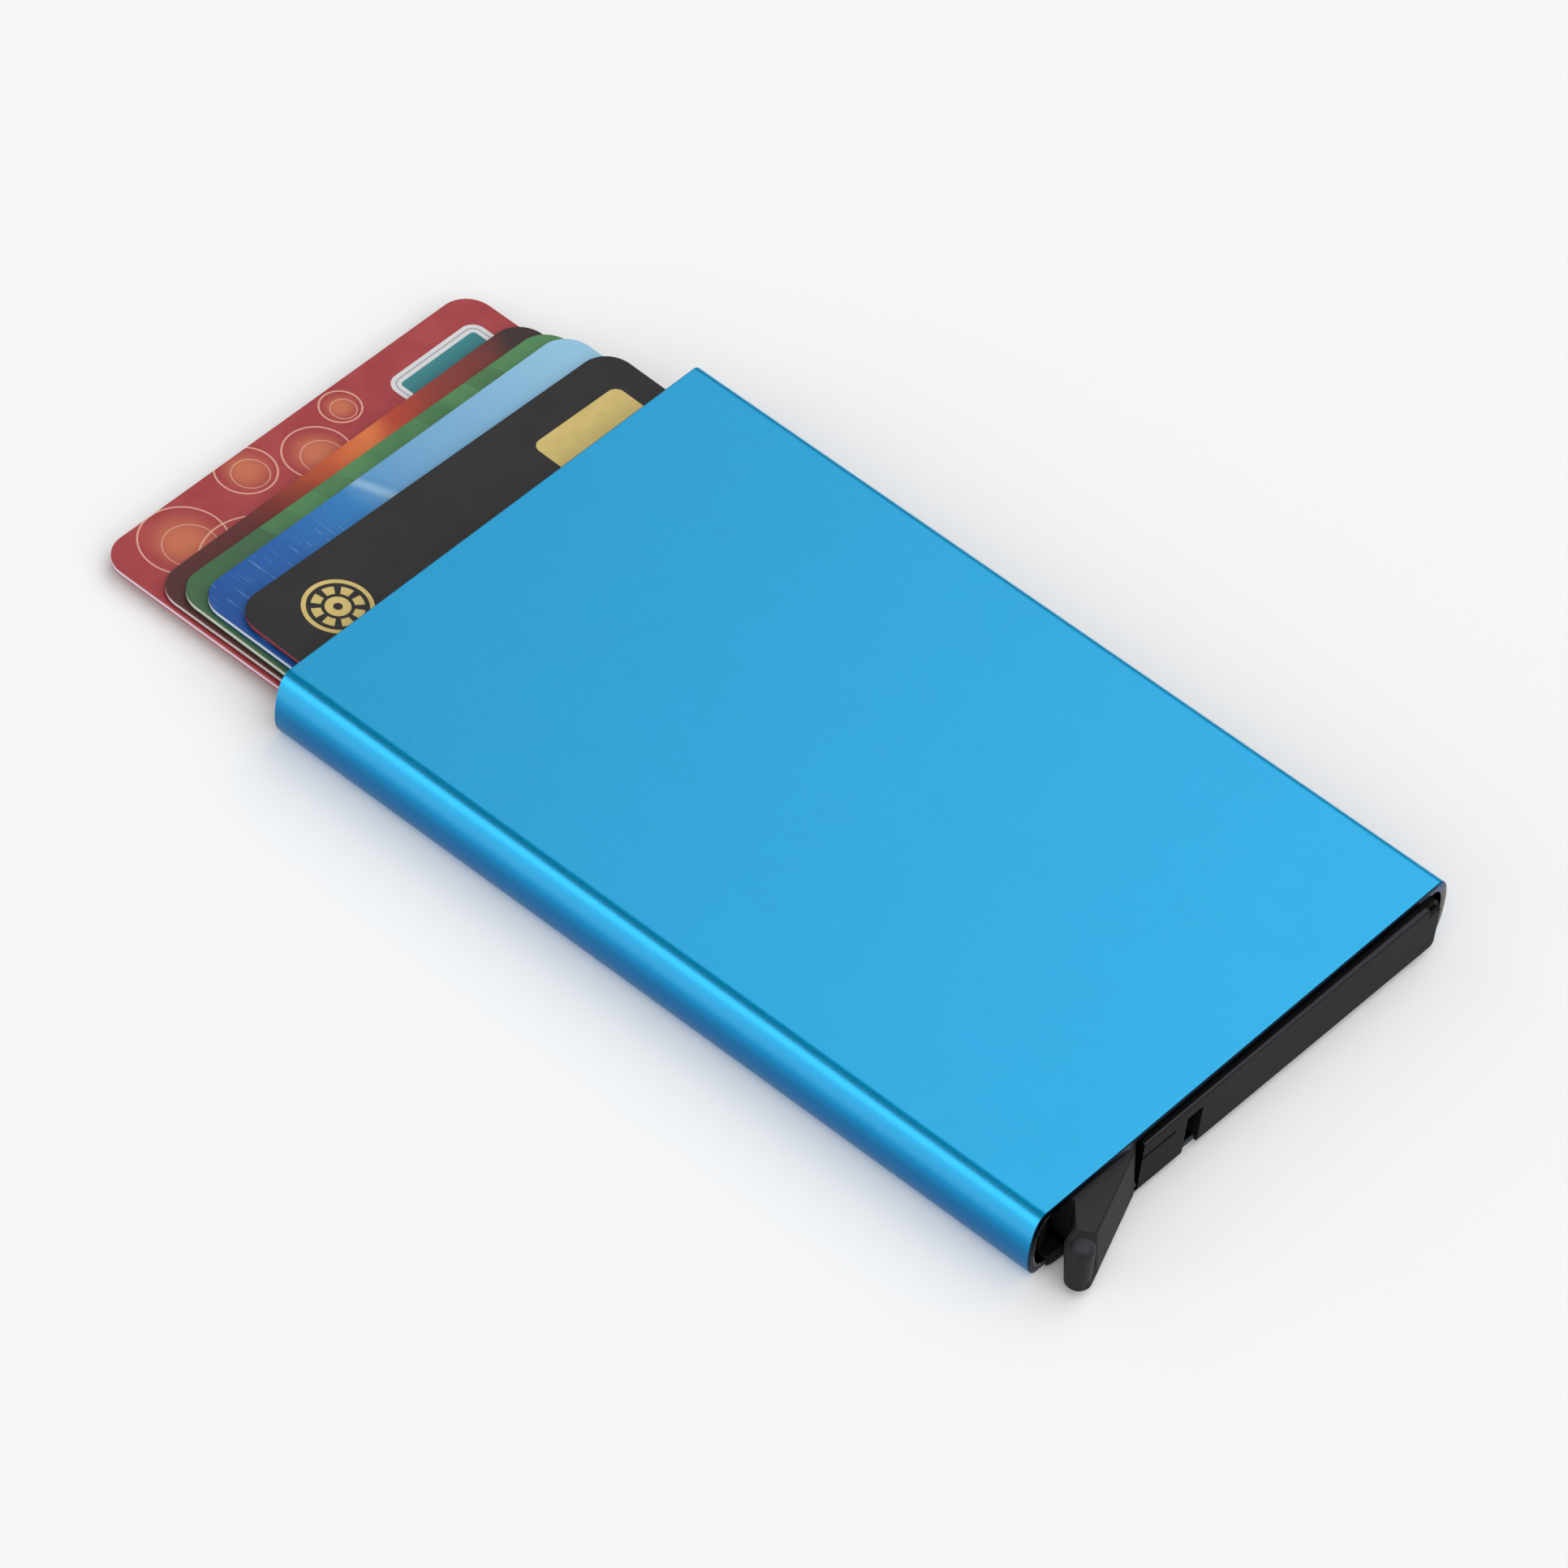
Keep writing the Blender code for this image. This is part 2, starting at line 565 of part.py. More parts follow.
def make_trigger(look):
    trigger = extrude_outline("trigger", [arm_outline()], ARM_BOTTOM, ARM_TOP)
    head = extrude_outline("trigger_head", [head_outline()], HEAD_BOTTOM, HEAD_TOP, CUTTERS)
    shape_head(head)
    foot = cylinder(
        "trigger_nub_foot", nub_centre(), NUB_RADIUS - NUB_FOOT_INSET, HEAD_BOTTOM - NUB_FOOT_DROP,
        HEAD_BOTTOM + NUB_FOOT_SINK,
    )
    bevel(foot, NUB_FOOT_FILLET, FILLET_SEGMENTS)
    combine(trigger, head, "UNION")
    combine(trigger, foot, "UNION")

    over = ARM_TOP + CUT_OVERRUN
    under = ARM_BOTTOM - CUT_OVERRUN
    centre = (0.0, 0.0)
    relief = cylinder("trigger_relief", centre, RELIEF_RADIUS, under, HUB_BOTTOM)
    steps = step_cutters(nose_lengths())
    bore = cylinder("trigger_bore", centre, BORE_RADIUS, under, over)
    pocket = cylinder("trigger_pocket", centre, COIL_RADIUS + POCKET_WIDTH / 2, POCKET_FLOOR, over)
    core = cylinder("trigger_core", centre, COIL_RADIUS - POCKET_WIDTH / 2, POCKET_FLOOR - CUT_OVERRUN,
                    over + CUT_OVERRUN)
    cut(pocket, core)
    slot_low = COIL_RADIUS - SLOT_WIDTH / 2
    leg_slot = box(
        "trigger_leg_slot",
        (0.0, slot_low, POCKET_FLOOR + PIN_GAP),
        (SPRING_LEG + SEAT_GAP, slot_low + SLOT_WIDTH, over),
    )
    hook_gate = box(
        "trigger_hook_gate",
        (-RELIEF_RADIUS, slot_low, SPRING_TOP - SLOT_WIDTH),
        (GATE_REACH, 2 * HUB_RADIUS, over + CUT_OVERRUN),
    )
    cut(trigger, relief, *steps, bore, pocket, leg_slot, hook_gate)
    for piece in (trigger, head, foot, relief, *steps, bore, pocket, core, leg_slot, hook_gate):
        piece.location = PIVOT
    return finish(trigger, look)


def make_pin(look):
    pin = cylinder("pivot_pin", (0.0, 0.0), PIN_RADIUS, PLUG_BOTTOM, PLUG_TOP, PARTS)
    bevel(pin, PIN_GAP, 2)
    pin.location = PIVOT
    return finish(pin, look)


def spring_route():
    """Centre line of the torsion spring: leg in the arm, coil about the pin, hook in the cap."""
    points = [Vector((SPRING_LEG, COIL_RADIUS, SPRING_BOTTOM))]
    count = COIL_TURNS * COIL_POINTS_PER_TURN
    for step in range(count + 1):
        turn = step / COIL_POINTS_PER_TURN
        flat = polar(COIL_RADIUS, 90.0 + 360.0 * turn)
        points.append(Vector((flat[0], flat[1], SPRING_BOTTOM + COIL_PITCH * turn)))
    points.append(Vector((-SPRING_HOOK, COIL_RADIUS, SPRING_BOTTOM + COIL_PITCH * COIL_TURNS)))
    return points


def least_coil_gap(points):
    """Smallest clear distance between one turn and the next."""
    coil = points[1:-1]
    least = CARD_LENGTH
    for index, place in enumerate(coil):
        for other in coil[index + COIL_POINTS_PER_TURN // 2:]:
            least = min(least, (place - other).length - 2 * WIRE_RADIUS)
    return least


def make_spring(look):
    route = spring_route()
    curve = bpy.data.curves.new("return_spring", "CURVE")
    curve.dimensions = "3D"
    curve.bevel_depth = WIRE_RADIUS
    curve.bevel_resolution = 1
    curve.use_fill_caps = True
    spline = curve.splines.new("POLY")
    spline.points.add(len(route) - 1)
    for point, place in zip(spline.points, route):
        point.co = (*place, 1.0)
    spring = bpy.data.objects.new("return_spring", curve)
    collection(PARTS).objects.link(spring)
    spring.location = PIVOT
    curve.materials.append(look)
    print("least gap between spring turns, mm:", round(least_coil_gap(route) / MILLIMETRE, 3))
    return spring


def make_liner(side, look):
    """Slim moulding that fills the bulging side and keeps the cards central."""
    name = "liner_right" if side > 0 else "liner_left"
    middle = (PLUG_BOTTOM + PLUG_TOP) / 2
    reach = (INNER_BULGE, (PLUG_TOP - PLUG_BOTTOM) / 2)
    bulge = arc((PLUG_HALF_WIDTH - INNER_BULGE, middle), reach, -90.0, 90.0, SIDE_FACETS)
    outline = [(LINER_INNER_X, PLUG_TOP), (LINER_INNER_X, PLUG_BOTTOM)] + bulge
    outline = [(side * place[0], place[1]) for place in outline]
    start = PLUG_INNER_Y + SEAT_GAP
    return finish(extrude_outline(name, [outline], start, MOUTH_Y - LINER_END_INSET, along_y=True), look)


def make_felt(side, look):
    """Felt strip under the ceiling that brakes the top card."""
    name = "felt_right" if side > 0 else "felt_left"
    outer = LINER_INNER_X - FELT_EDGE_INSET
    places = sorted((side * outer, side * (outer - FELT_WIDTH)))
    low = CARD_BOTTOM_Z + STACK_HEIGHT + SEAT_GAP
    far = MOUTH_Y - FELT_MOUTH_INSET
    return finish(box(name, (places[0], far - FELT_LENGTH, low), (places[1], far, PLUG_TOP), PARTS), look)


def make_card(index, look):
    """A card about the middle of its leading edge, pushed out of the mouth by its reach."""
    half = CARD_WIDTH / 2
    round_off = CARD_CORNER
    radii = (round_off, round_off)
    outline = arc((half - round_off, -round_off), radii, 0.0, 90.0, CORNER_FACETS)
    outline += arc((-half + round_off, -round_off), radii, 90.0, 180.0, CORNER_FACETS)
    outline += arc((-half + round_off, -CARD_LENGTH + round_off), radii, 180.0, 270.0, CORNER_FACETS)
    outline += arc((half - round_off, -CARD_LENGTH + round_off), radii, 270.0, 360.0, CORNER_FACETS)
    card = extrude_outline(CARD_NAMES[index], [outline], 0.0, CARD_THICKNESS)
    card.location = (CARD_SHIFTS[index], MOUTH_Y + CARD_REACHES[index], CARD_BOTTOM_Z + CARD_PITCH * index)
    card.rotation_euler = (0.0, 0.0, math.radians(CARD_YAWS[index]))
    return finish(card, look)


CARD_COLOURS = (
    (0.392, 0.061, 0.066),
    (0.130, 0.045, 0.040),
    (0.080, 0.220, 0.095),
    (0.060, 0.220, 0.450),
    (0.038, 0.034, 0.034),
)


def build():
    clear_scene()
    blue = material("anodised_blue", (0.040, 0.360, 0.680), 0.32, 0.85)
    plastic = material("black_plastic", (0.028, 0.028, 0.030), 0.45, 0.0)
    liner = material("dark_liner", (0.020, 0.020, 0.022), 0.60, 0.0)
    steel = material("bright_steel", (0.600, 0.600, 0.610), 0.25, 1.0)
    felt = material("dark_felt", (0.030, 0.030, 0.032), 0.95, 0.0)
    make_sleeve(blue)
    make_end_cap(plastic)
    make_trigger(plastic)
    make_pin(steel)
    make_spring(steel)
    for side in (-1, 1):
        make_liner(side, liner)
        make_felt(side, felt)
    for index, colour in enumerate(CARD_COLOURS):
        make_card(index, material(CARD_NAMES[index], colour, 0.35, 0.0))
    print("trigger travel, degrees:", round(trigger_travel(), 2))


build()
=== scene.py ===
"""Looks of the aluminium card wallet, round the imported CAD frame.

Metres, +Z up. The sleeve lies flat on the floor, its mouth and the cards towards +Y,
its end cap and trigger towards -Y.
"""
import math

import bmesh
import bpy
from mathutils import Matrix, Vector, noise as field


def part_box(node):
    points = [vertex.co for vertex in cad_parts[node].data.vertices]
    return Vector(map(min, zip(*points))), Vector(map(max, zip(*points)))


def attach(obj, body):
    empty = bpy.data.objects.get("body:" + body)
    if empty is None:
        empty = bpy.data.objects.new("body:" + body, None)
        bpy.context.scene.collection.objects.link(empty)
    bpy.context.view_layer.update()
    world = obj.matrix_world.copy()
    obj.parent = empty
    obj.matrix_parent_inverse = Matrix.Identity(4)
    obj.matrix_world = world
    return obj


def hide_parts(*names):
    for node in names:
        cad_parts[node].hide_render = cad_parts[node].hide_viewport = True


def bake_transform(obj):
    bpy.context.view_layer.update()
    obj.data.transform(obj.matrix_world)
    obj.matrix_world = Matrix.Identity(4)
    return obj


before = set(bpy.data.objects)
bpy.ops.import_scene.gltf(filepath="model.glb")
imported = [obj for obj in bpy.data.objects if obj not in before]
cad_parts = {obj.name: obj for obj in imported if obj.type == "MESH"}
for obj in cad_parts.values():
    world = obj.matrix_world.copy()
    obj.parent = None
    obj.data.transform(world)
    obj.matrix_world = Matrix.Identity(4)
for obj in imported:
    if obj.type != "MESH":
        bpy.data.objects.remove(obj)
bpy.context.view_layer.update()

MILLIMETRE = 0.001

# Camera, solved on the card widths and the sleeve's outline
CAMERA_PLACE = (-0.556084, -0.376491, 0.725641)
CAMERA_AXES = (
    (0.651452, 0.511370, -0.560457),
    (-0.752133, 0.532204, -0.388657),
    (0.099529, 0.674730, 0.731323),
)
CAMERA_LENS = 233.569
CAMERA_SENSOR = 36.0

# Sleeve, in millimetres: as large as the CAD's, with sides that bulge more and have thinner walls
SLEEVE_HALF_LENGTH = 48.1
SLEEVE_HALF_WIDTH = 31.5
SLEEVE_HALF_HEIGHT = 4.2
SLEEVE_BULGE = 1.9
INNER_HALF_WIDTH = 30.6
INNER_FLAT_X = 29.0
INNER_BULGE = 1.6
CAD_INNER_BULGE = 1.0
INNER_HALF_HEIGHT = 3.2
MIDDLE_Z = 4.2
RIM_CHAMFER = 0.15
SIDE_FULLNESS = 0.84
SIDE_SEGMENTS = 32

# Merging of a copy's points in metres and of the shell's in millimetres, and angles in degrees
MERGE_DISTANCE = 0.0000005
SEAM_DISTANCE = 0.005
SHARP_ANGLE = 32.0
FLAT_ANGLE = 0.4

# Flat tops of the cap's flange and of the trigger, towards which their colour is painted lighter
# as light on the tops, the plane behind which the cap is painted deep black as shade, and the
# height and depth of the nub's dome, painted paler as a highlight
CAP_TOP = 7.43
TRIGGER_TOP = 7.08
CAP_MOUTH_Y = -48.95
NUB_LEDGE = 6.9
NUB_LEDGE_DEPTH = 0.9

# Thumb nub, at the trigger's outer corner
HEAD_CORNER = (-28.668, -52.083)
NUB_PLACE = (-28.80, -52.06)
NUB_LEAN = (0.935, 0.354)
NUB_CUTS = (1.6, 1.45, 1.3, 1.15, 1.0, 0.85, 0.6, 0.3, 0.0, -0.5, -1.0)
NUB_DROP = 0.8
NUB_GROOVE = 0.6
NUB_RADIUS = 1.24
NUB_FOOT = 1.0
NUB_TOP = 6.95
NUB_CROWN = 1.12
NUB_SEGMENTS = 48
NUB_CROWN_SEGMENTS = 6

# Region of the trigger's head that is cut and shaped towards the nub, in metres, and the runs in
# millimetres over which the groove and the fall of the top reach their full depth
HEAD_CUT_Y = -0.044
HEAD_SHAPED_Y = -0.048
HEAD_SHAPED_Z = 0.004
GROOVE_RUN = 0.6
DROP_RUN = 1.3

# The trigger's pin, and the hair by which its arm stops short of the cap, in degrees
PIVOT_PLACE = (-0.0255, -0.0428, 0.0042)
STOP_EASE = -0.06

# Bodies of the spring's leg (the trigger's) and hook (the case's), and the two ends of its coil;
# the spring is left in place and doesn't wind
SPRING_WIND = ("ejector", "case", (-0.0255, -0.0428, 0.00428), (-0.0255, -0.0428, 0.00562))

# Rounds of the merged copies' sharp edges, in millimetres
CAP_ROUND = 0.10
TRIGGER_ROUND = 0.07
LINER_ROUND = 0.15
ROUND_SEGMENTS = 2

# Cards, bottom first: name, reach past the mouth, sideways shift, yaw in degrees
MOUTH_Y = 48.1
CARD_WIDTH = 53.98
CARD_LENGTH = 85.6
CARD_CORNER = 3.18
CARD_RIM = 0.06
CORNER_SEGMENTS = 16
CARD_THICKNESS = 0.76
CARD_PITCH = 0.86
CARD_BOTTOM_Z = 1.4
CARDS = (
    ("card_1_red", 27.2, -0.5, -0.25),
    ("card_2_maroon", 20.2, -0.3, 0.0),
    ("card_3_green", 17.5, 0.2, -1.0),
    ("card_4_blue", 15.0, 0.5, -0.65),
    ("card_5_black", 10.3, 1.0, -1.3),
)
CARD_BODIES = ("red_card", "maroon_card", "green_card", "blue_card", "black_card")

# Black card's rosette, in the card's own millimetres
ROSETTE_X = -19.0
ROSETTE_Y = -6.7

# Felt brakes: edge round in millimetres, cuts by axis, pitch and depths of the nap
FELT_ROUND = 0.3
FELT_CUTS = ((1, 70), (0, 16))
NAP_PITCH = 2.3
NAP_SHRINK = 0.004
NAP_DEPTH = 0.22

# Sleeve's look, in millimetres: where its sides and their painted low shade begin, its crease,
# and the depths of the painted shade on its sawn ends
SIDE_START_X = 30.0
SIDE_FULL_X = 30.9
CREASE_X = 30.02
MOUTH_CUT = 0.03
CAP_END_CUT = 0.13

# Sockets of a colour mix node: factor and two colours in, one colour out
MIX_INPUTS = (0, 6, 7)
MIX_OUTPUT = 2

# Half the soft edge of a printed mark, in millimetres
PRINT_EDGE = 0.03

# Studio surround: its calm level, and soft patches of light by direction, edge and strength
CALM_LEVEL = 0.25
FRONT_DOME = ((-0.30, -0.64, 0.71), (0.47, 0.99), 1.5)
SOFT_BOX = ((0.63, 0.0, 0.78), (0.84, 0.97), 1.22)
LEFT_PANEL = ((-0.93, 0.33, 0.14), (0.76, 0.97), 1.4)

# Fill lamp behind the cards, and the floor, in metres and watts
FILL_PLACE = (-0.10, 0.75, 0.45)
FILL_SIZE = 0.45
FILL_POWER = 0.3
FLOOR_HALF_SIZE = 6.0
FLOOR_Z = -0.00002
FLOOR_SHADE = (0.94, 0.94, 0.94, 1.0)


def add(tree, kind, **settings):
    """Add a node with its settings."""
    made = tree.nodes.new(kind)
    for key, value in settings.items():
        setattr(made, key, value)
    return made


def feed(tree, source, socket):
    """Link a socket, or set a plain value."""
    if isinstance(source, bpy.types.NodeSocket):
        tree.links.new(source, socket)
    else:
        socket.default_value = source


def colour(red, green, blue):
    """A linear colour from the eight-bit values of a display."""
    def linear(value):
        share = value / 255
        return share / 12.92 if share <= 0.04045 else ((share + 0.055) / 1.055) ** 2.4
    return (linear(red), linear(green), linear(blue), 1.0)


def maths(tree, operation, *values):
    made = add(tree, "ShaderNodeMath", operation=operation)
    for value, socket in zip(values, made.inputs):
        feed(tree, value, socket)
    return made.outputs[0]


def product(tree, value, *others):
    for other in others:
        value = maths(tree, "MULTIPLY", value, other)
    return value


def largest(tree, value, *others):
    for other in others:
        value = maths(tree, "MAXIMUM", value, other)
    return value


def blend(tree, factor, first, second):
    """Mix of two colours."""
    made = add(tree, "ShaderNodeMix", data_type="RGBA")
    for given, index in zip((factor, first, second), MIX_INPUTS):
        feed(tree, given, made.inputs[index])
    return made.outputs[MIX_OUTPUT]


def fade(tree, value, start, end, low=0.0, high=1.0):
    """Smooth step of a value between two limits."""
    made = add(tree, "ShaderNodeMapRange", interpolation_type="SMOOTHSTEP")
    for given, socket in zip((value, start, end, low, high), made.inputs):
        feed(tree, given, socket)
    return made.outputs[0]


def gradient(tree, value, stops):
    """Colours along a value: stops are (position, colour)."""
    made = add(tree, "ShaderNodeValToRGB")
    ramp = made.color_ramp
    while len(ramp.elements) < len(stops):
        ramp.elements.new(0.5)
    for element, (position, shade) in zip(ramp.elements, stops):
        element.position = position
        element.color = shade
    feed(tree, value, made.inputs[0])
    return made.outputs[0]


def split(tree, vector):
    made = add(tree, "ShaderNodeSeparateXYZ")
    feed(tree, vector, made.inputs[0])
    return made.outputs[0], made.outputs[1], made.outputs[2]


def noise(tree, vector, scale, detail=2.0, roughness=0.5):
    made = add(tree, "ShaderNodeTexNoise")
    feed(tree, vector, made.inputs["Vector"])
    made.inputs["Scale"].default_value = scale
    made.inputs["Detail"].default_value = detail
    made.inputs["Roughness"].default_value = roughness
    return made.outputs["Fac"]


def stretched(tree, vector, scale):
    made = add(tree, "ShaderNodeMapping")
    feed(tree, vector, made.inputs["Vector"])
    made.inputs["Scale"].default_value = scale
    return made.outputs[0]


def millimetres(tree):
    """Object coordinates in millimetres, in the wallet's own frame."""
    place = add(tree, "ShaderNodeTexCoord")
    made = add(tree, "ShaderNodeMapping", vector_type="TEXTURE")
    made.inputs["Scale"].default_value = (MILLIMETRE,) * 3
    feed(tree, place.outputs["Object"], made.inputs["Vector"])
    return made.outputs[0]


def card_millimetres(tree, index):
    """Millimetres on a card: x across, y from its leading edge out, z from its underside."""
    _, reach, shift, yaw = CARDS[index]
    place = add(tree, "ShaderNodeTexCoord")
    made = add(tree, "ShaderNodeMapping", vector_type="TEXTURE")
    made.inputs["Location"].default_value = (
        shift * MILLIMETRE,
        (MOUTH_Y + reach) * MILLIMETRE,
        (CARD_BOTTOM_Z + CARD_PITCH * index) * MILLIMETRE,
    )
    made.inputs["Rotation"].default_value = (0.0, 0.0, math.radians(yaw))
    made.inputs["Scale"].default_value = (MILLIMETRE,) * 3
    feed(tree, place.outputs["Object"], made.inputs["Vector"])
    return made.outputs[0]


def new_group(name, inputs, outputs):
    """Shader node group with float or vector inputs and outputs, by name and kind."""
    group = bpy.data.node_groups.new(name, "ShaderNodeTree")
    for label, kind in inputs:
        group.interface.new_socket(name=label, in_out="INPUT", socket_type=kind)
    for label, kind in outputs:
        group.interface.new_socket(name=label, in_out="OUTPUT", socket_type=kind)
    return group, group.nodes.new("NodeGroupInput"), group.nodes.new("NodeGroupOutput")


def use(tree, group, **values):
    """Place a group in a material; underscores in the names stand for spaces."""
    made = add(tree, "ShaderNodeGroup", node_tree=group)
    for key, value in values.items():
        feed(tree, value, made.inputs[key.replace("_", " ")])
    return made.outputs


FLOAT = "NodeSocketFloat"
VECTOR = "NodeSocketVector"


def grain_group():
    """Fine blasted or moulded grain: a mottling value and a bumped normal."""
    group, given, result = new_group(
        "grain",
        (("Vector", VECTOR), ("Scale", FLOAT), ("Depth", FLOAT), ("Distance", FLOAT)),
        (("Mottle", FLOAT), ("Normal", VECTOR)),
    )
    fine = add(group, "ShaderNodeTexNoise")
    fine.inputs["Detail"].default_value = 3.0
    fine.inputs["Roughness"].default_value = 0.65
    group.links.new(given.outputs["Vector"], fine.inputs["Vector"])
    group.links.new(given.outputs["Scale"], fine.inputs["Scale"])
    bump = add(group, "ShaderNodeBump")
    group.links.new(given.outputs["Depth"], bump.inputs["Strength"])
    group.links.new(given.outputs["Distance"], bump.inputs["Distance"])
    group.links.new(fine.outputs["Fac"], bump.inputs["Height"])
    group.links.new(fine.outputs["Fac"], result.inputs["Mottle"])
    group.links.new(bump.outputs["Normal"], result.inputs["Normal"])
    return group


def plate_group():
    """Mask of a rounded rectangle, with its signed distance from the edge in millimetres."""
    group, given, result = new_group(
        "rounded_plate",
        (("Across", FLOAT), ("Along", FLOAT), ("Centre Across", FLOAT), ("Centre Along", FLOAT),
         ("Half Width", FLOAT), ("Half Length", FLOAT), ("Corner", FLOAT)),
        (("Mask", FLOAT), ("Distance", FLOAT)),
    )
    parts = []
    for label, centre, half in (
        ("Across", "Centre Across", "Half Width"), ("Along", "Centre Along", "Half Length"),
    ):
        offset = maths(group, "SUBTRACT", given.outputs[label], given.outputs[centre])
        core = maths(group, "SUBTRACT", given.outputs[half], given.outputs["Corner"])
        parts.append(maths(group, "SUBTRACT", maths(group, "ABSOLUTE", offset), core))
    outside = [maths(group, "MAXIMUM", part, 0.0) for part in parts]
    squares = [product(group, part, part) for part in outside]
    far = maths(group, "SQRT", maths(group, "ADD", *squares))
    near = maths(group, "MINIMUM", maths(group, "MAXIMUM", *parts), 0.0)
    distance = maths(group, "SUBTRACT", maths(group, "ADD", far, near), given.outputs["Corner"])
    mask = fade(group, distance, -PRINT_EDGE, PRINT_EDGE, 1.0, 0.0)
    group.links.new(mask, result.inputs["Mask"])
    group.links.new(distance, result.inputs["Distance"])
    return group


def ring_group():
    """Mask of a ring, and the distance from its centre in millimetres."""
    group, given, result = new_group(
        "ring",
        (("Across", FLOAT), ("Along", FLOAT), ("Centre Across", FLOAT), ("Centre Along", FLOAT),
         ("Radius", FLOAT), ("Half Width", FLOAT)),
        (("Mask", FLOAT), ("Distance", FLOAT)),
    )
    across = maths(group, "SUBTRACT", given.outputs["Across"], given.outputs["Centre Across"])
    along = maths(group, "SUBTRACT", given.outputs["Along"], given.outputs["Centre Along"])
    squares = [product(group, part, part) for part in (across, along)]
    far = maths(group, "SQRT", maths(group, "ADD", *squares))
    off = maths(group, "ABSOLUTE", maths(group, "SUBTRACT", far, given.outputs["Radius"]))
    edge = maths(group, "SUBTRACT", off, given.outputs["Half Width"])
    mask = fade(group, edge, -PRINT_EDGE, PRINT_EDGE, 1.0, 0.0)
    group.links.new(mask, result.inputs["Mask"])
    group.links.new(far, result.inputs["Distance"])
    return group


GRAIN = grain_group()
PLATE = plate_group()
RING = ring_group()


def finish_material(name, roughness, metallic=0.0, specular=0.5):
    made = bpy.data.materials.new(name)
    made.use_nodes = True
    tree = made.node_tree
    surface = tree.nodes["Principled BSDF"]
    surface.inputs["Roughness"].default_value = roughness
    surface.inputs["Metallic"].default_value = metallic
    surface.inputs["Specular IOR Level"].default_value = specular
    return made, tree, surface


def settle(name, edit, body, slot, look, *replaced, weighted=True):
    """Turn a finished bmesh into a piece, in place of the CAD nodes it stands for, if any.

    It rides on a body; where body is a tuple (one, other, start, end), the parts are not used and
    it is left in place on no body.
    """
    bmesh.ops.recalc_face_normals(edit, faces=edit.faces)
    for face in edit.faces:
        face.smooth = True
    for edge in edit.edges:
        edge.smooth = edge.calc_face_angle(0.0) < math.radians(SHARP_ANGLE)
    mesh = bpy.data.meshes.new(name)
    edit.to_mesh(mesh)
    edit.free()
    mesh.materials.append(look)
    piece = bpy.data.objects.new(name, mesh)
    bpy.context.scene.collection.objects.link(piece)
    if weighted:
        step = piece.modifiers.new("even shading", "WEIGHTED_NORMAL")
        step.keep_sharp = True
        step.weight = 100
    if isinstance(body, tuple):
        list(body)
        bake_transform(piece)
    else:
        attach(piece, body)
    if replaced:
        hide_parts(*replaced)
    return piece


def to_metres(edit, place):
    """Put a bmesh, made round the origin in millimetres, in its place in metres."""
    size = Matrix.Diagonal((MILLIMETRE, MILLIMETRE, MILLIMETRE, 1.0))
    spot = Matrix.Translation([MILLIMETRE * value for value in place])
    bmesh.ops.transform(edit, matrix=spot @ size, verts=edit.verts)


def add_tube(edit, half_width, half_height, bulge):
    """Open tube along Y, flat above and below, its sides a little fuller than half ellipses."""
    made = bmesh.ops.create_cube(edit, size=1.0)["verts"]
    flat = half_width - bulge
    size = (2 * (flat + half_height), 2 * SLEEVE_HALF_LENGTH, 2 * half_height)
    bmesh.ops.scale(edit, vec=size, verts=made)
    own = set(made)
    ends = [face for face in edit.faces
            if own.issuperset(face.verts) and abs(face.normal.y) > 0.9]
    bmesh.ops.delete(edit, geom=ends, context="FACES_ONLY")
    long_edges = [edge for edge in edit.edges if own.issuperset(edge.verts)
                  and abs(edge.verts[0].co.y - edge.verts[1].co.y) > SLEEVE_HALF_LENGTH]
    bevelled = bmesh.ops.bevel(
        edit, geom=long_edges, offset=half_height, segments=SIDE_SEGMENTS, profile=0.5,
        affect="EDGES", material=-1, clamp_overlap=False,
    )
    for vert in bevelled["verts"]:
        over = max(0.0, abs(vert.co.x) - flat) / half_height
        rise = min(1.0, abs(vert.co.z) / half_height)
        vert.co.x = math.copysign(flat + bulge * over ** SIDE_FULLNESS, vert.co.x)
        vert.co.z = math.copysign(half_height * rise ** SIDE_FULLNESS, vert.co.z)


def sleeve_shell(look):
    """The extrusion with smooth sides, its walls joined at both sawn ends and the rims eased."""
    edit = bmesh.new()
    add_tube(edit, SLEEVE_HALF_WIDTH, SLEEVE_HALF_HEIGHT, SLEEVE_BULGE)
    add_tube(edit, INNER_HALF_WIDTH, INNER_HALF_HEIGHT, INNER_BULGE)
    bmesh.ops.remove_doubles(edit, verts=edit.verts, dist=SEAM_DISTANCE)
    rims = []
    for side in (-1, 1):
        loops = [edge for edge in edit.edges
                 if edge.is_boundary and edge.verts[0].co.y * side > 0]
        bmesh.ops.bridge_loops(edit, edges=loops)
        rims += loops
    bmesh.ops.recalc_face_normals(edit, faces=edit.faces)
    bmesh.ops.bevel(
        edit, geom=rims, offset=RIM_CHAMFER, segments=ROUND_SEGMENTS, profile=0.5,
        affect="EDGES", material=-1,
    )
    to_metres(edit, (0.0, 0.0, MIDDLE_Z))
    return settle("sleeve_shell", edit, "case", "anodised_blue", look, "sleeve")


def fill_sides(edit):
    """Spread what fills the side hollows out to the thinner side walls of the shell."""
    flat = INNER_FLAT_X * MILLIMETRE
    for vert in edit.verts:
        over = abs(vert.co.x) - flat
        if over > 0.0:
            vert.co.x = math.copysign(flat + over * INNER_BULGE / CAD_INNER_BULGE, vert.co.x)


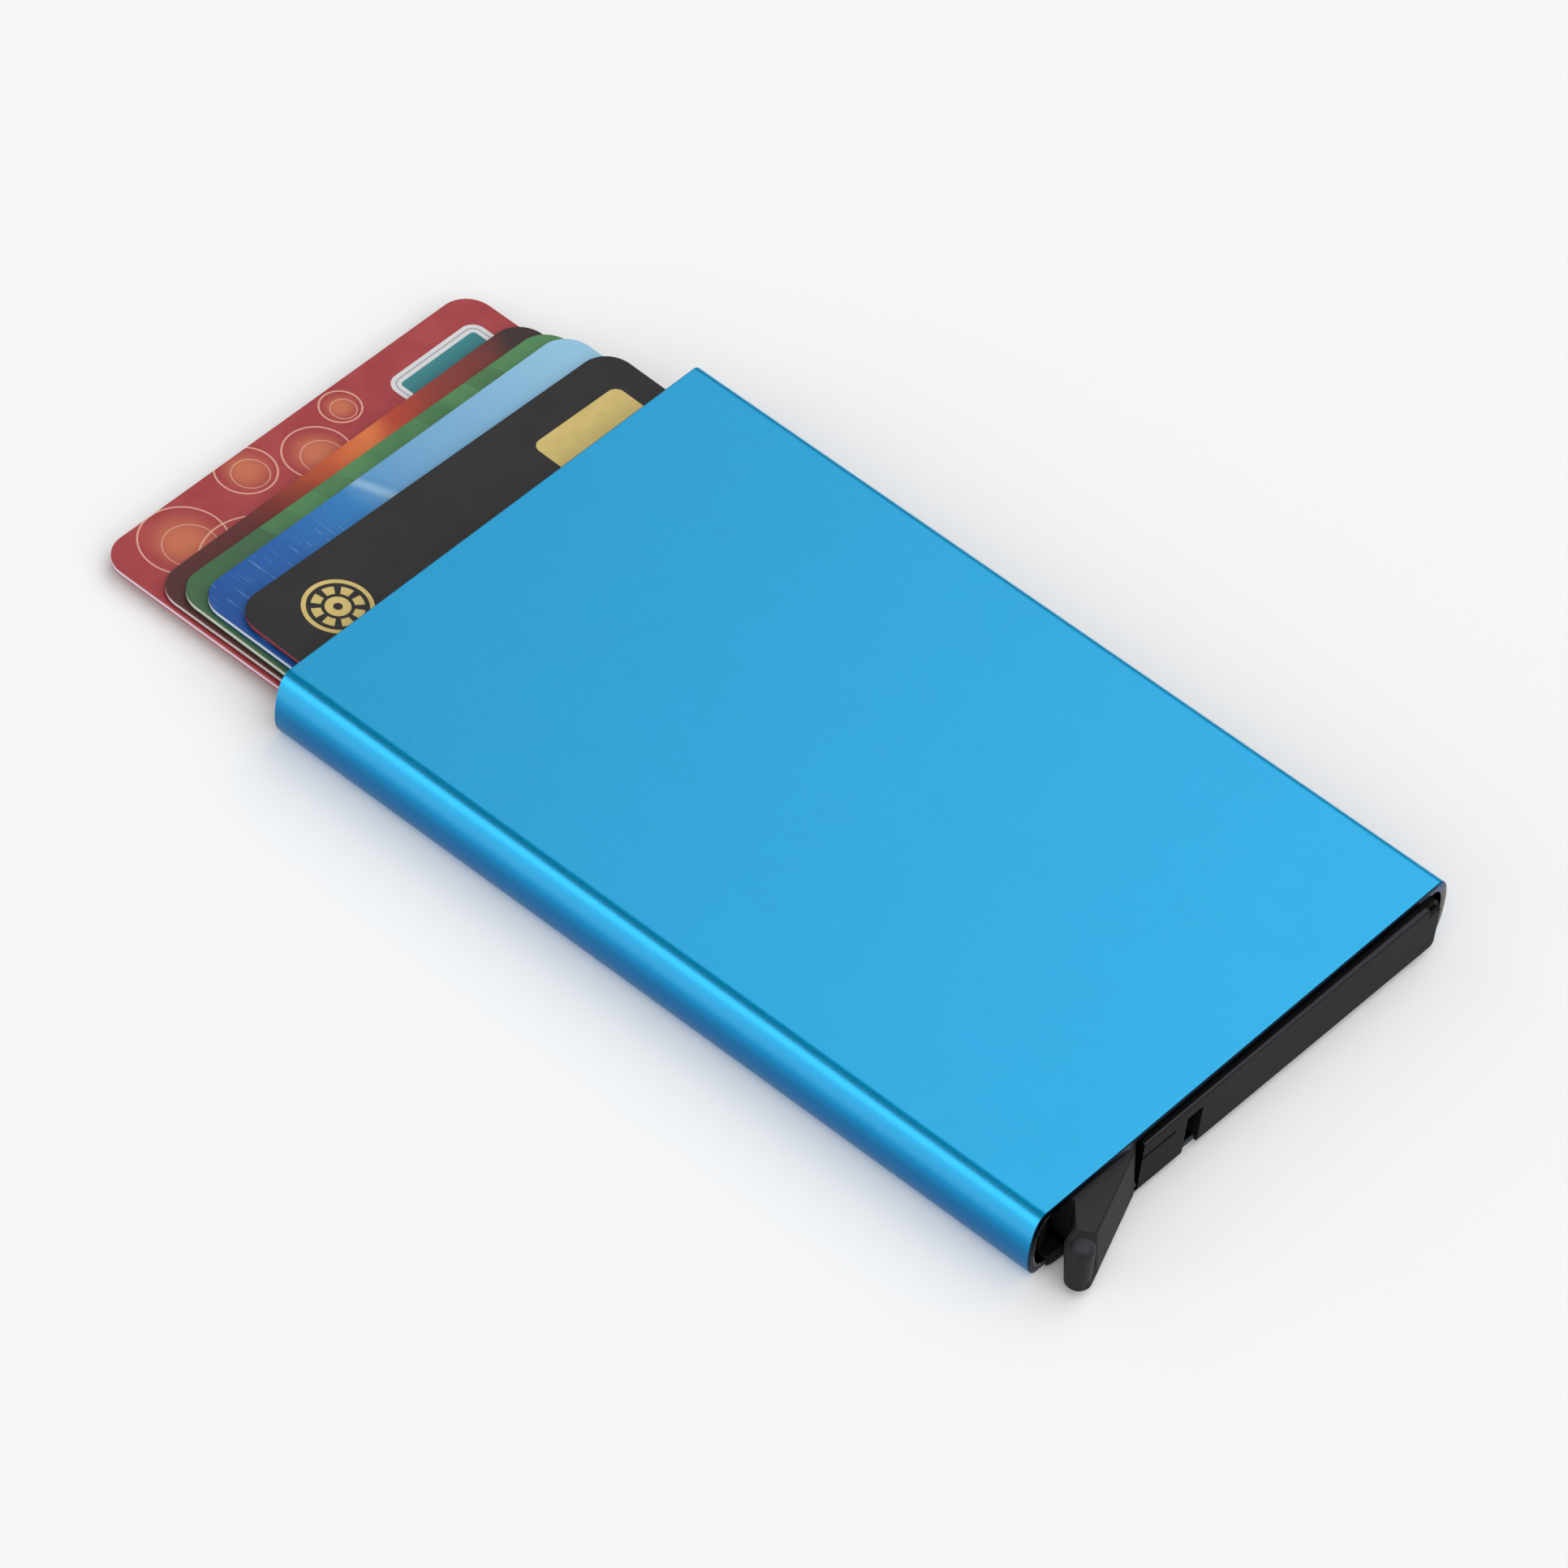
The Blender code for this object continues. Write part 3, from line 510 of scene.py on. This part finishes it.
def shape_trigger(edit):
    """Turn the trigger a hair back from its stop, and shape its head towards the nub.

    The head's top and outer wall fall away there, so that the nub stands proud of them.
    """
    turn = Matrix.Rotation(math.radians(STOP_EASE), 3, "Z")
    bmesh.ops.rotate(edit, cent=PIVOT_PLACE, matrix=turn, verts=edit.verts)
    centre = Vector((*HEAD_CORNER, 0.0)) * MILLIMETRE
    lean = Vector((*NUB_LEAN, 0.0)).normalized()
    outward = Vector((lean.y, -lean.x, 0.0))
    for reach in NUB_CUTS:
        near = [face for face in edit.faces if face.calc_center_median().y < HEAD_CUT_Y]
        parts = near + list({edge for face in near for edge in face.edges})
        parts += list({vert for face in near for vert in face.verts})
        spot = centre + lean * reach * MILLIMETRE
        bmesh.ops.bisect_plane(
            edit, geom=parts, plane_co=spot, plane_no=lean, dist=MERGE_DISTANCE,
        )
    for vert in edit.verts:
        reach = (vert.co - centre).dot(lean) / MILLIMETRE
        beyond = reach > NUB_CUTS[0] or vert.co.y > HEAD_SHAPED_Y
        if beyond or vert.co.z <= HEAD_SHAPED_Z:
            continue
        share = min(1.0, (NUB_CUTS[0] - reach) / GROOVE_RUN)
        wall = (vert.co - centre).dot(outward)
        inset = NUB_GROOVE * MILLIMETRE * share * share * (3.0 - 2.0 * share)
        vert.co -= outward * max(0.0, min(wall, inset))
        drop = min(1.0, max(0.0, DROP_RUN - reach) / DROP_RUN)
        vert.co.z -= NUB_DROP * MILLIMETRE * drop * drop * (3.0 - 2.0 * drop)


def softened_copy(node, name, body, slot, look, width, shaping=None):
    """A merged copy of a CAD node with its sharp edges eased by a round, in millimetres."""
    edit = bmesh.new()
    edit.from_mesh(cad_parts[node].data)
    bmesh.ops.remove_doubles(edit, verts=edit.verts, dist=MERGE_DISTANCE)
    bmesh.ops.dissolve_degenerate(edit, edges=edit.edges, dist=MERGE_DISTANCE)
    bmesh.ops.dissolve_limit(
        edit, angle_limit=math.radians(FLAT_ANGLE), verts=edit.verts, edges=edit.edges,
        use_dissolve_boundaries=False,
    )
    if shaping:
        shaping(edit)
    if width:
        crisp = [edge for edge in edit.edges
                 if edge.is_manifold and edge.calc_face_angle(0.0) > math.radians(SHARP_ANGLE)]
        bmesh.ops.bevel(
            edit, geom=crisp, offset=width * MILLIMETRE, segments=ROUND_SEGMENTS, profile=0.5,
            affect="EDGES", material=-1, clamp_overlap=True,
        )
    return settle(name, edit, body, slot, look, node)


def thumb_nub(look):
    """Upright nub at the trigger's corner: it stands plumb, proud of the raked wall by it."""
    edit = bmesh.new()
    bmesh.ops.create_cone(
        edit, cap_ends=True, segments=NUB_SEGMENTS, radius1=NUB_RADIUS, radius2=NUB_RADIUS,
        depth=NUB_TOP - NUB_FOOT,
    )
    for level, width in ((1, NUB_CROWN), (-1, NUB_CROWN / 2)):
        rim = [edge for edge in edit.edges
               if all(vert.co.z * level > 0.1 for vert in edge.verts)]
        bmesh.ops.bevel(
            edit, geom=rim, offset=width, segments=NUB_CROWN_SEGMENTS, profile=0.5,
            affect="EDGES", material=-1,
        )
    to_metres(edit, (*NUB_PLACE, (NUB_TOP + NUB_FOOT) / 2))
    return settle("thumb_nub", edit, "ejector", "trigger_plastic", look)


def card_piece(index, body, look):
    """A card with round corners and a slightly eased rim."""
    name, reach, shift, yaw = CARDS[index]
    edit = bmesh.new()
    bmesh.ops.create_cube(edit, size=1.0)
    bmesh.ops.scale(edit, vec=(CARD_WIDTH, CARD_LENGTH, CARD_THICKNESS), verts=edit.verts)

    def rises(edge):
        return abs(edge.verts[0].co.z - edge.verts[1].co.z) > CARD_THICKNESS / 2

    bmesh.ops.bevel(
        edit, geom=[edge for edge in edit.edges if rises(edge)], offset=CARD_CORNER,
        segments=CORNER_SEGMENTS, profile=0.5, affect="EDGES", material=-1,
    )
    bmesh.ops.bevel(
        edit, geom=[edge for edge in edit.edges if not rises(edge)], offset=CARD_RIM,
        segments=ROUND_SEGMENTS, profile=0.5, affect="EDGES", material=-1,
    )
    height = CARD_BOTTOM_Z + CARD_PITCH * index + CARD_THICKNESS / 2
    turn = Matrix.Rotation(math.radians(yaw), 3, "Z")
    bmesh.ops.translate(edit, vec=(0.0, -CARD_LENGTH / 2, 0.0), verts=edit.verts)
    bmesh.ops.rotate(edit, cent=(0.0, 0.0, 0.0), matrix=turn, verts=edit.verts)
    to_metres(edit, (shift, MOUTH_Y + reach, height))
    hue = name.rsplit("_", 1)[1]
    return settle("printed_" + name, edit, body, "card_" + hue, look, name)


def felt_strip(side, look):
    """Felt brake with soft edges and an uneven nap, inside the space of its CAD solid."""
    low, high = [Vector(corner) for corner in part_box("felt_" + side)]
    size = high - low
    edit = bmesh.new()
    bmesh.ops.create_cube(edit, size=1.0)
    bmesh.ops.scale(edit, vec=[value / MILLIMETRE for value in size], verts=edit.verts)
    bmesh.ops.bevel(
        edit, geom=edit.edges, offset=FELT_ROUND, segments=3, profile=0.5, affect="EDGES",
        material=-1,
    )
    for axis, count in FELT_CUTS:
        least = 0.8 * size[axis] / MILLIMETRE
        long_edges = [edge for edge in edit.edges
                      if abs(edge.verts[0].co[axis] - edge.verts[1].co[axis]) > least]
        bmesh.ops.subdivide_edges(edit, edges=long_edges, cuts=count, use_grid_fill=True)
    for vert in edit.verts:
        nap = 0.5 + 0.5 * field.noise(Vector([value * NAP_PITCH for value in vert.co]))
        vert.co *= 1.0 - NAP_SHRINK * nap
        vert.co.z *= 1.0 - NAP_DEPTH * nap
    to_metres(edit, [value / MILLIMETRE for value in (low + high) / 2])
    return settle(
        "felt_brake_" + side, edit, "case", "dark_felt", look, "felt_" + side, weighted=False,
    )


def anodised_blue():
    """Blasted and anodised aluminium, with painted shade inside and on its sawn ends.

    At the cut end by the cap the painted shade is less deep over the shoulder at one side, whose
    corner is rubbed bare, and a rim is rubbed bare at the other.
    """
    made, tree, surface = finish_material("anodised_blue", 0.34, metallic=1.0)
    place = millimetres(tree)
    across, along, height = split(tree, place)
    away = maths(tree, "ABSOLUTE", across)

    # Even blue with a faint cloud and a few specks
    grain = use(tree, GRAIN, Vector=place, Scale=4.5, Depth=0.16, Distance=0.00004)
    mottled = fade(tree, grain["Mottle"], 0.35, 0.65)
    base = blend(tree, mottled, colour(16, 172, 230), colour(26, 180, 236))
    cloud = noise(tree, place, 0.16, detail=4.0, roughness=0.6)
    base = blend(tree, fade(tree, cloud, 0.3, 0.7, 0.0, 0.35), base, colour(20, 171, 226))
    speck = noise(tree, stretched(tree, place, (1.0, 0.45, 1.0)), 1.35, detail=1.0)
    base = blend(tree, fade(tree, speck, 0.80, 0.82, 0.0, 0.15), base, colour(20, 95, 150))

    # Painted shade: deeper blue low on the sides, where they turn down to the floor
    outward = fade(tree, away, SIDE_START_X, SIDE_FULL_X)
    low_side_shade = product(tree, fade(tree, height, 7.2, 3.4, 0.0, 0.78), outward)
    base = blend(tree, low_side_shade, base, colour(4, 92, 150))

    # Painted shade: dark sawn ends and inner walls; reach is 1 on the inner wall and grows
    # outwards
    end = largest(
        tree, maths(tree, "GREATER_THAN", along, SLEEVE_HALF_LENGTH - MOUTH_CUT),
        maths(tree, "LESS_THAN", along, CAP_END_CUT - SLEEVE_HALF_LENGTH),
    )
    side = largest(tree, maths(tree, "SUBTRACT", away, INNER_FLAT_X), 0.0)
    side = maths(tree, "DIVIDE", side, INNER_BULGE)
    rise = maths(tree, "SUBTRACT", height, MIDDLE_Z)
    rise = maths(tree, "ABSOLUTE", maths(tree, "DIVIDE", rise, INNER_HALF_HEIGHT))
    power = 2 / SIDE_FULLNESS
    reach = maths(tree, "ADD", *(maths(tree, "POWER", part, power) for part in (side, rise)))
    reach = maths(tree, "POWER", reach, 1 / power)
    dark = largest(tree, end, fade(tree, reach, 1.0, 1.02, 1.0, 0.0))
    base = blend(tree, dark, base, colour(6, 34, 54))

    # Cut end by the cap: painted shade, less deep over the shoulder at one side, and bare metal
    # rubbed through at that corner
    cut = fade(tree, along, -SLEEVE_HALF_LENGTH + 0.12, -SLEEVE_HALF_LENGTH + 0.02)
    shoulder = product(tree, cut, fade(tree, across, 28.9, 29.9))
    base = blend(tree, shoulder, base, colour(34, 78, 122))
    worn = product(tree, fade(tree, across, 30.1, 30.4), fade(tree, height, 7.5, 7.0), cut)
    base = blend(tree, worn, base, colour(94, 92, 87))
    rim = product(
        tree, fade(tree, reach, 1.12, 1.16, 1.0, 0.0), fade(tree, reach, 1.00, 1.01),
        fade(tree, across, -28.9, -29.3), fade(tree, height, 1.6, 3.0, 0.25, 1.0),
        fade(tree, noise(tree, place, 1.6, detail=3.0), 0.34, 0.48), cut,
    )
    base = blend(tree, rim, base, colour(235, 212, 196))
    feed(tree, base, surface.inputs["Base Color"])

    # Clear coat on the top and upper sides, less of it at the crease between them
    surface.inputs["Coat Roughness"].default_value = 0.3
    bend = maths(tree, "ABSOLUTE", maths(tree, "SUBTRACT", away, CREASE_X))
    bare = largest(
        tree, dark, fade(tree, low_side_shade, 0.0, 0.5), fade(tree, bend, 0.40, 0.15, 0.0, 0.85),
    )
    feed(tree, fade(tree, bare, 0.0, 1.0, 0.75, 0.0), surface.inputs["Coat Weight"])
    rough = fade(tree, grain["Mottle"], 0.3, 0.7, 0.29, 0.36)
    feed(tree, rough, surface.inputs["Roughness"])
    feed(tree, grain["Normal"], surface.inputs["Normal"])
    return made


def moulded_black(name, shade, roughness, *, ledge=None, ledge_depth=0.08, top_light=None,
                  mouth=None):
    """Satin moulded plastic with a fine even grain.

    It is painted lighter towards the ledge height, as light on its top faces, and painted deep
    black behind the mouth plane, as shade.
    """
    made, tree, surface = finish_material(name, roughness, specular=0.14)
    place = millimetres(tree)
    _, along, height = split(tree, place)
    grain = use(tree, GRAIN, Vector=place, Scale=5.0, Depth=0.10, Distance=0.00003)
    lighter = tuple(min(1.0, value * 1.25) for value in shade[:3]) + (1.0,)
    cloud = noise(tree, place, 0.5, detail=3.0)
    base = blend(tree, fade(tree, cloud, 0.3, 0.7), shade, lighter)
    # Painted shade: deep black behind the mouth plane, inside the sleeve
    if mouth is not None:
        base = blend(tree, fade(tree, along, mouth, mouth + 0.2), base, colour(7, 7, 8))
    # Painted light: the top faces are lighter towards the ledge height
    if ledge is not None:
        lit_top = fade(tree, height, ledge - ledge_depth, ledge)
        base = blend(tree, lit_top, base, top_light)
    feed(tree, base, surface.inputs["Base Color"])
    feed(tree, fade(tree, grain["Mottle"], 0.3, 0.7, roughness - 0.05, roughness + 0.05),
         surface.inputs["Roughness"])
    feed(tree, grain["Normal"], surface.inputs["Normal"])
    return made


def steel(name, roughness):
    made, tree, surface = finish_material(name, roughness, metallic=1.0)
    place = millimetres(tree)
    drawn = noise(tree, stretched(tree, place, (1.0, 1.0, 14.0)), 3.0, detail=3.0)
    base = blend(tree, drawn, colour(170, 172, 176), colour(205, 206, 208))
    rough = fade(tree, drawn, 0.3, 0.7, roughness - 0.06, roughness + 0.08)
    feed(tree, base, surface.inputs["Base Color"])
    feed(tree, rough, surface.inputs["Roughness"])
    return made


def short_felt():
    made, tree, surface = finish_material("dark_felt", 0.95, specular=0.1)
    surface.inputs["Sheen Weight"].default_value = 0.4
    place = millimetres(tree)
    fibre = use(tree, GRAIN, Vector=place, Scale=6.0, Depth=0.7, Distance=0.0001)
    base = blend(tree, fibre["Mottle"], colour(26, 26, 28), colour(62, 62, 66))
    feed(tree, base, surface.inputs["Base Color"])
    feed(tree, fibre["Normal"], surface.inputs["Normal"])
    return made


def card_face(index, core):
    """Start of a card's material: its print goes on the faces, its core shows at the edges."""
    made, tree, surface = finish_material(CARDS[index][0] + "_print", 0.34, specular=0.3)
    place = card_millimetres(tree, index)
    across, along, height = split(tree, place)
    off = maths(tree, "ABSOLUTE", maths(tree, "SUBTRACT", height, CARD_THICKNESS / 2))
    face = fade(tree, off, 0.14, 0.20)

    def close(printed):
        feed(tree, blend(tree, face, core, printed), surface.inputs["Base Color"])
        film = use(tree, GRAIN, Vector=place, Scale=1.1, Depth=0.05, Distance=0.00002)
        feed(tree, film["Normal"], surface.inputs["Normal"])
        feed(tree, fade(tree, film["Mottle"], 0.3, 0.7, 0.30, 0.40), surface.inputs["Roughness"])
        return made

    return tree, place, across, along, close


def red_print():
    """Red card: thin ripple rings with warm centres, and a white-edged teal plate."""
    tree, place, across, along, close = card_face(0, colour(206, 194, 206))
    weave = noise(tree, place, 0.25, detail=3.0)
    base = blend(tree, fade(tree, weave, 0.3, 0.7), colour(168, 68, 71), colour(158, 58, 63))
    pale = colour(226, 172, 150)
    ripples = (
        (-19.5, -4.6, 4.6), (-16.0, -12.0, 6.4), (-8.0, -2.2, 3.2), (-1.0, -5.4, 3.6),
        (5.4, -2.6, 2.2), (-5.0, -27.0, 9.0), (9.0, -44.0, 12.0), (-14.0, -62.0, 10.0),
    )
    for centre_x, centre_y, radius in ripples:
        rim = use(tree, RING, Across=across, Along=along, Centre_Across=centre_x,
                  Centre_Along=centre_y, Radius=radius, Half_Width=0.10)
        warm = fade(tree, rim["Distance"], radius * 0.15, radius, 0.75, 0.0)
        base = blend(tree, warm, base, colour(205, 122, 84))
        base = blend(tree, product(tree, rim["Mask"], 0.8), base, pale)
        inner = use(tree, RING, Across=across, Along=along, Centre_Across=centre_x,
                    Centre_Along=centre_y - radius * 0.2, Radius=radius * 0.62, Half_Width=0.07)
        base = blend(tree, product(tree, inner["Mask"], 0.6), base, pale)
    plate = use(tree, PLATE, Across=across, Along=along, Centre_Across=17.6, Centre_Along=-8.0,
                Half_Width=6.6, Half_Length=4.6, Corner=1.6)
    base = blend(tree, plate["Mask"], base, colour(214, 214, 216))
    line = maths(tree, "ABSOLUTE", maths(tree, "ADD", plate["Distance"], 0.55))
    base = blend(tree, fade(tree, line, 0.05, 0.10, 0.7, 0.0), base, colour(120, 120, 124))
    window = fade(tree, plate["Distance"], -1.15, -1.05, 1.0, 0.0)
    teal = blend(tree, fade(tree, along, -9.0, -4.0), colour(36, 96, 106), colour(58, 132, 138))
    return close(blend(tree, window, base, teal))


def maroon_print():
    """Dark maroon card with a warm glow across its middle."""
    tree, place, across, along, close = card_face(1, colour(196, 182, 178))
    drift = noise(tree, place, 0.12, detail=4.0)
    line = maths(tree, "MULTIPLY_ADD", across, 1 / 60, 0.5)
    line = maths(tree, "ADD", line, maths(tree, "MULTIPLY_ADD", drift, 0.16, -0.08))
    glow = gradient(tree, line, (
        (0.03, colour(78, 44, 45)), (0.24, colour(92, 42, 42)), (0.33, colour(120, 46, 40)),
        (0.45, colour(188, 84, 48)), (0.56, colour(216, 118, 66)), (0.63, colour(176, 66, 48)),
        (0.78, colour(128, 56, 50)), (0.92, colour(58, 44, 42)),
    ))
    deep = blend(tree, fade(tree, along, -60.0, -8.0), colour(60, 30, 30), glow)
    return close(deep)


def green_print():
    """Green card of soft two-tone blocks, with its deeper tone over one corner."""
    tree, place, across, along, close = card_face(2, colour(206, 206, 196))
    skewed = maths(tree, "MULTIPLY_ADD", along, 0.28, across)
    cells = []
    for value, step in ((skewed, 3.7), (along, 4.3)):
        cells.append(maths(tree, "FLOOR", maths(tree, "DIVIDE", value, step)))
    joined = add(tree, "ShaderNodeCombineXYZ")
    for value, socket in zip(cells, joined.inputs):
        feed(tree, value, socket)
    chance = add(tree, "ShaderNodeTexWhiteNoise", noise_dimensions="2D")
    feed(tree, joined.outputs[0], chance.inputs["Vector"])
    corner = fade(tree, skewed, -14.75, -14.85)
    block = largest(tree, corner, fade(tree, chance.outputs["Value"], 0.45, 0.75, 0.0, 0.5))
    base = blend(tree, block, colour(82, 134, 86), colour(66, 102, 70))
    mist = noise(tree, place, 0.3, detail=3.0)
    return close(blend(tree, fade(tree, mist, 0.4, 0.8, 0.0, 0.5), base, colour(60, 118, 74)))


def blue_print():
    """Card in blues, pale at one side and deep at the other, with faint streaks."""
    tree, place, across, along, close = card_face(3, colour(208, 212, 214))
    brushed = stretched(tree, place, (1.0, 0.35, 1.0))
    drift = noise(tree, brushed, 0.5, detail=5.0, roughness=0.7)
    line = maths(tree, "MULTIPLY_ADD", across, 1 / 56, 0.5)
    line = maths(tree, "ADD", line, maths(tree, "MULTIPLY_ADD", drift, 0.10, -0.05))
    base = gradient(tree, line, (
        (0.02, colour(28, 78, 150)), (0.22, colour(34, 96, 168)),
        (0.38, colour(48, 124, 186)), (0.46, colour(96, 154, 200)),
        (0.60, colour(116, 170, 208)), (0.95, colour(146, 194, 222)),
    ))
    streak = noise(tree, stretched(tree, place, (2.4, 0.22, 1.0)), 1.2, detail=2.0)
    pale = product(tree, fade(tree, streak, 0.60, 0.72), fade(tree, line, 0.5, 0.3, 0.0, 0.35))
    base = blend(tree, pale, base, colour(150, 190, 220))
    beam = maths(tree, "ADD", across, product(tree, along, 0.36))
    beam = maths(tree, "ABSOLUTE", maths(tree, "ADD", beam, 4.3))
    beam = product(tree, fade(tree, beam, 0.1, 1.1, 0.45, 0.0), fade(tree, along, -16.0, -1.0))
    return close(blend(tree, beam, base, colour(176, 208, 228)))


def black_print():
    """Charcoal card with a plain gilt rosette and a bare gilt plate."""
    tree, place, across, along, close = card_face(4, colour(148, 52, 62))
    weave = noise(tree, place, 0.3, detail=3.0)
    base = blend(tree, fade(tree, weave, 0.3, 0.7), colour(38, 36, 36), colour(43, 41, 41))
    leaf = noise(tree, place, 0.7, detail=3.0)
    gilt = blend(tree, leaf, colour(196, 172, 100), colour(222, 200, 128))

    def ring(radius, half):
        made = use(tree, RING, Across=across, Along=along, Centre_Across=ROSETTE_X,
                   Centre_Along=ROSETTE_Y, Radius=radius, Half_Width=half)
        return made["Mask"]

    turn = maths(tree, "ARCTAN2", maths(tree, "SUBTRACT", along, ROSETTE_Y),
                 maths(tree, "SUBTRACT", across, ROSETTE_X))
    petals = maths(tree, "ABSOLUTE", maths(tree, "SINE", product(tree, turn, 4.0)))
    petals = product(tree, ring(2.2, 0.5), fade(tree, petals, 0.50, 0.60))
    plate = use(tree, PLATE, Across=across, Along=along, Centre_Across=17.4, Centre_Along=-8.6,
                Half_Width=6.2, Half_Length=4.2, Corner=1.1)
    gilded = largest(tree, ring(3.4, 0.24), ring(0.9, 0.42), petals, plate["Mask"])
    return close(blend(tree, gilded, base, gilt))


def make_pieces():
    sleeve_shell(anodised_blue())
    # The ledge colours are painted light on the top faces of the cap, the trigger and the nub
    black = moulded_black(
        "black_plastic", colour(22, 22, 24), 0.62,
        ledge=CAP_TOP, top_light=colour(53, 56, 61), mouth=CAP_MOUTH_Y,
    )
    thumb = moulded_black(
        "trigger_plastic", colour(32, 32, 34), 0.62,
        ledge=TRIGGER_TOP, top_light=colour(50, 50, 53),
    )
    # Painted highlight: the nub is paler over its dome, the top 0.9 mm
    nub = moulded_black(
        "nub_plastic", colour(28, 28, 31), 0.5,
        ledge=NUB_LEDGE, ledge_depth=NUB_LEDGE_DEPTH, top_light=colour(54, 55, 60),
    )
    pin = steel("bright_steel", 0.22)
    wire = steel("spring_steel", 0.30)
    liner = moulded_black("dark_liner", colour(34, 34, 36), 0.6)
    felt = short_felt()
    softened_copy("end_cap", "cap_moulding", "case", "black_plastic", black, CAP_ROUND)
    softened_copy("trigger", "trigger_moulding", "ejector", "trigger_plastic", thumb,
                  TRIGGER_ROUND, shaping=shape_trigger)
    thumb_nub(nub)
    softened_copy("pivot_pin", "ground_pin", "case", "bright_steel", pin, 0.0)
    softened_copy("return_spring", "wound_spring", SPRING_WIND, "spring_steel", wire, 0.0)
    for side in ("left", "right"):
        softened_copy("liner_" + side, "side_liner_" + side, "case", "dark_liner", liner,
                      LINER_ROUND, shaping=fill_sides)
        felt_strip(side, felt)
    prints = (red_print(), maroon_print(), green_print(), blue_print(), black_print())
    for index, (body, printed) in enumerate(zip(CARD_BODIES, prints)):
        card_piece(index, body, printed)


def add_camera():
    lens = bpy.data.cameras.new("camera")
    lens.sensor_fit = "HORIZONTAL"
    lens.sensor_width = CAMERA_SENSOR
    lens.lens = CAMERA_LENS
    lens.clip_start = 0.05
    lens.clip_end = 20.0
    eye = bpy.data.objects.new("camera", lens)
    bpy.context.scene.collection.objects.link(eye)
    turned = Matrix(CAMERA_AXES).to_4x4()
    turned.translation = Vector(CAMERA_PLACE)
    eye.matrix_world = turned
    bpy.context.scene.camera = eye


def add_floor():
    sheet = bmesh.new()
    bmesh.ops.create_grid(sheet, x_segments=1, y_segments=1, size=FLOOR_HALF_SIZE)
    mesh = bpy.data.meshes.new("floor")
    sheet.to_mesh(mesh)
    sheet.free()
    floor = bpy.data.objects.new("floor", mesh)
    bpy.context.scene.collection.objects.link(floor)
    floor.location.z = FLOOR_Z
    made, _, surface = finish_material("pale_floor", 0.8, specular=0.1)
    surface.inputs["Base Color"].default_value = FLOOR_SHADE
    mesh.materials.append(made)


def add_fill():
    """Square lamp aimed at the origin."""
    lamp = bpy.data.lights.new("fill", "AREA")
    lamp.shape = "RECTANGLE"
    lamp.size = lamp.size_y = FILL_SIZE
    lamp.energy = FILL_POWER
    held = bpy.data.objects.new("fill", lamp)
    bpy.context.scene.collection.objects.link(held)
    held.location = FILL_PLACE
    held.rotation_euler = (-Vector(FILL_PLACE)).to_track_quat("-Z", "Y").to_euler()


def add_world():
    """Soft studio surround, made of directions in the world and so the same from every side."""
    world = bpy.data.worlds.new("studio")
    bpy.context.scene.world = world
    world.use_nodes = True
    tree = world.node_tree
    sky = tree.nodes["Background"]
    place = add(tree, "ShaderNodeTexCoord")
    toward = place.outputs["Generated"]

    def facing(direction):
        made = add(tree, "ShaderNodeVectorMath", operation="DOT_PRODUCT")
        feed(tree, toward, made.inputs[0])
        made.inputs[1].default_value = Vector(direction).normalized()
        return made.outputs["Value"]

    level = CALM_LEVEL
    for direction, edge, strength in (FRONT_DOME, SOFT_BOX, LEFT_PANEL):
        level = maths(tree, "ADD", level, fade(tree, facing(direction), *edge, 0.0, strength))
    joined = add(tree, "ShaderNodeCombineXYZ")
    for socket in joined.inputs:
        feed(tree, level, socket)
    feed(tree, joined.outputs[0], sky.inputs["Color"])
    sky.inputs["Strength"].default_value = 1.0


def add_studio():
    add_camera()
    add_floor()
    add_world()
    add_fill()
    bpy.context.scene.view_settings.view_transform = "Standard"


make_pieces()
add_studio()
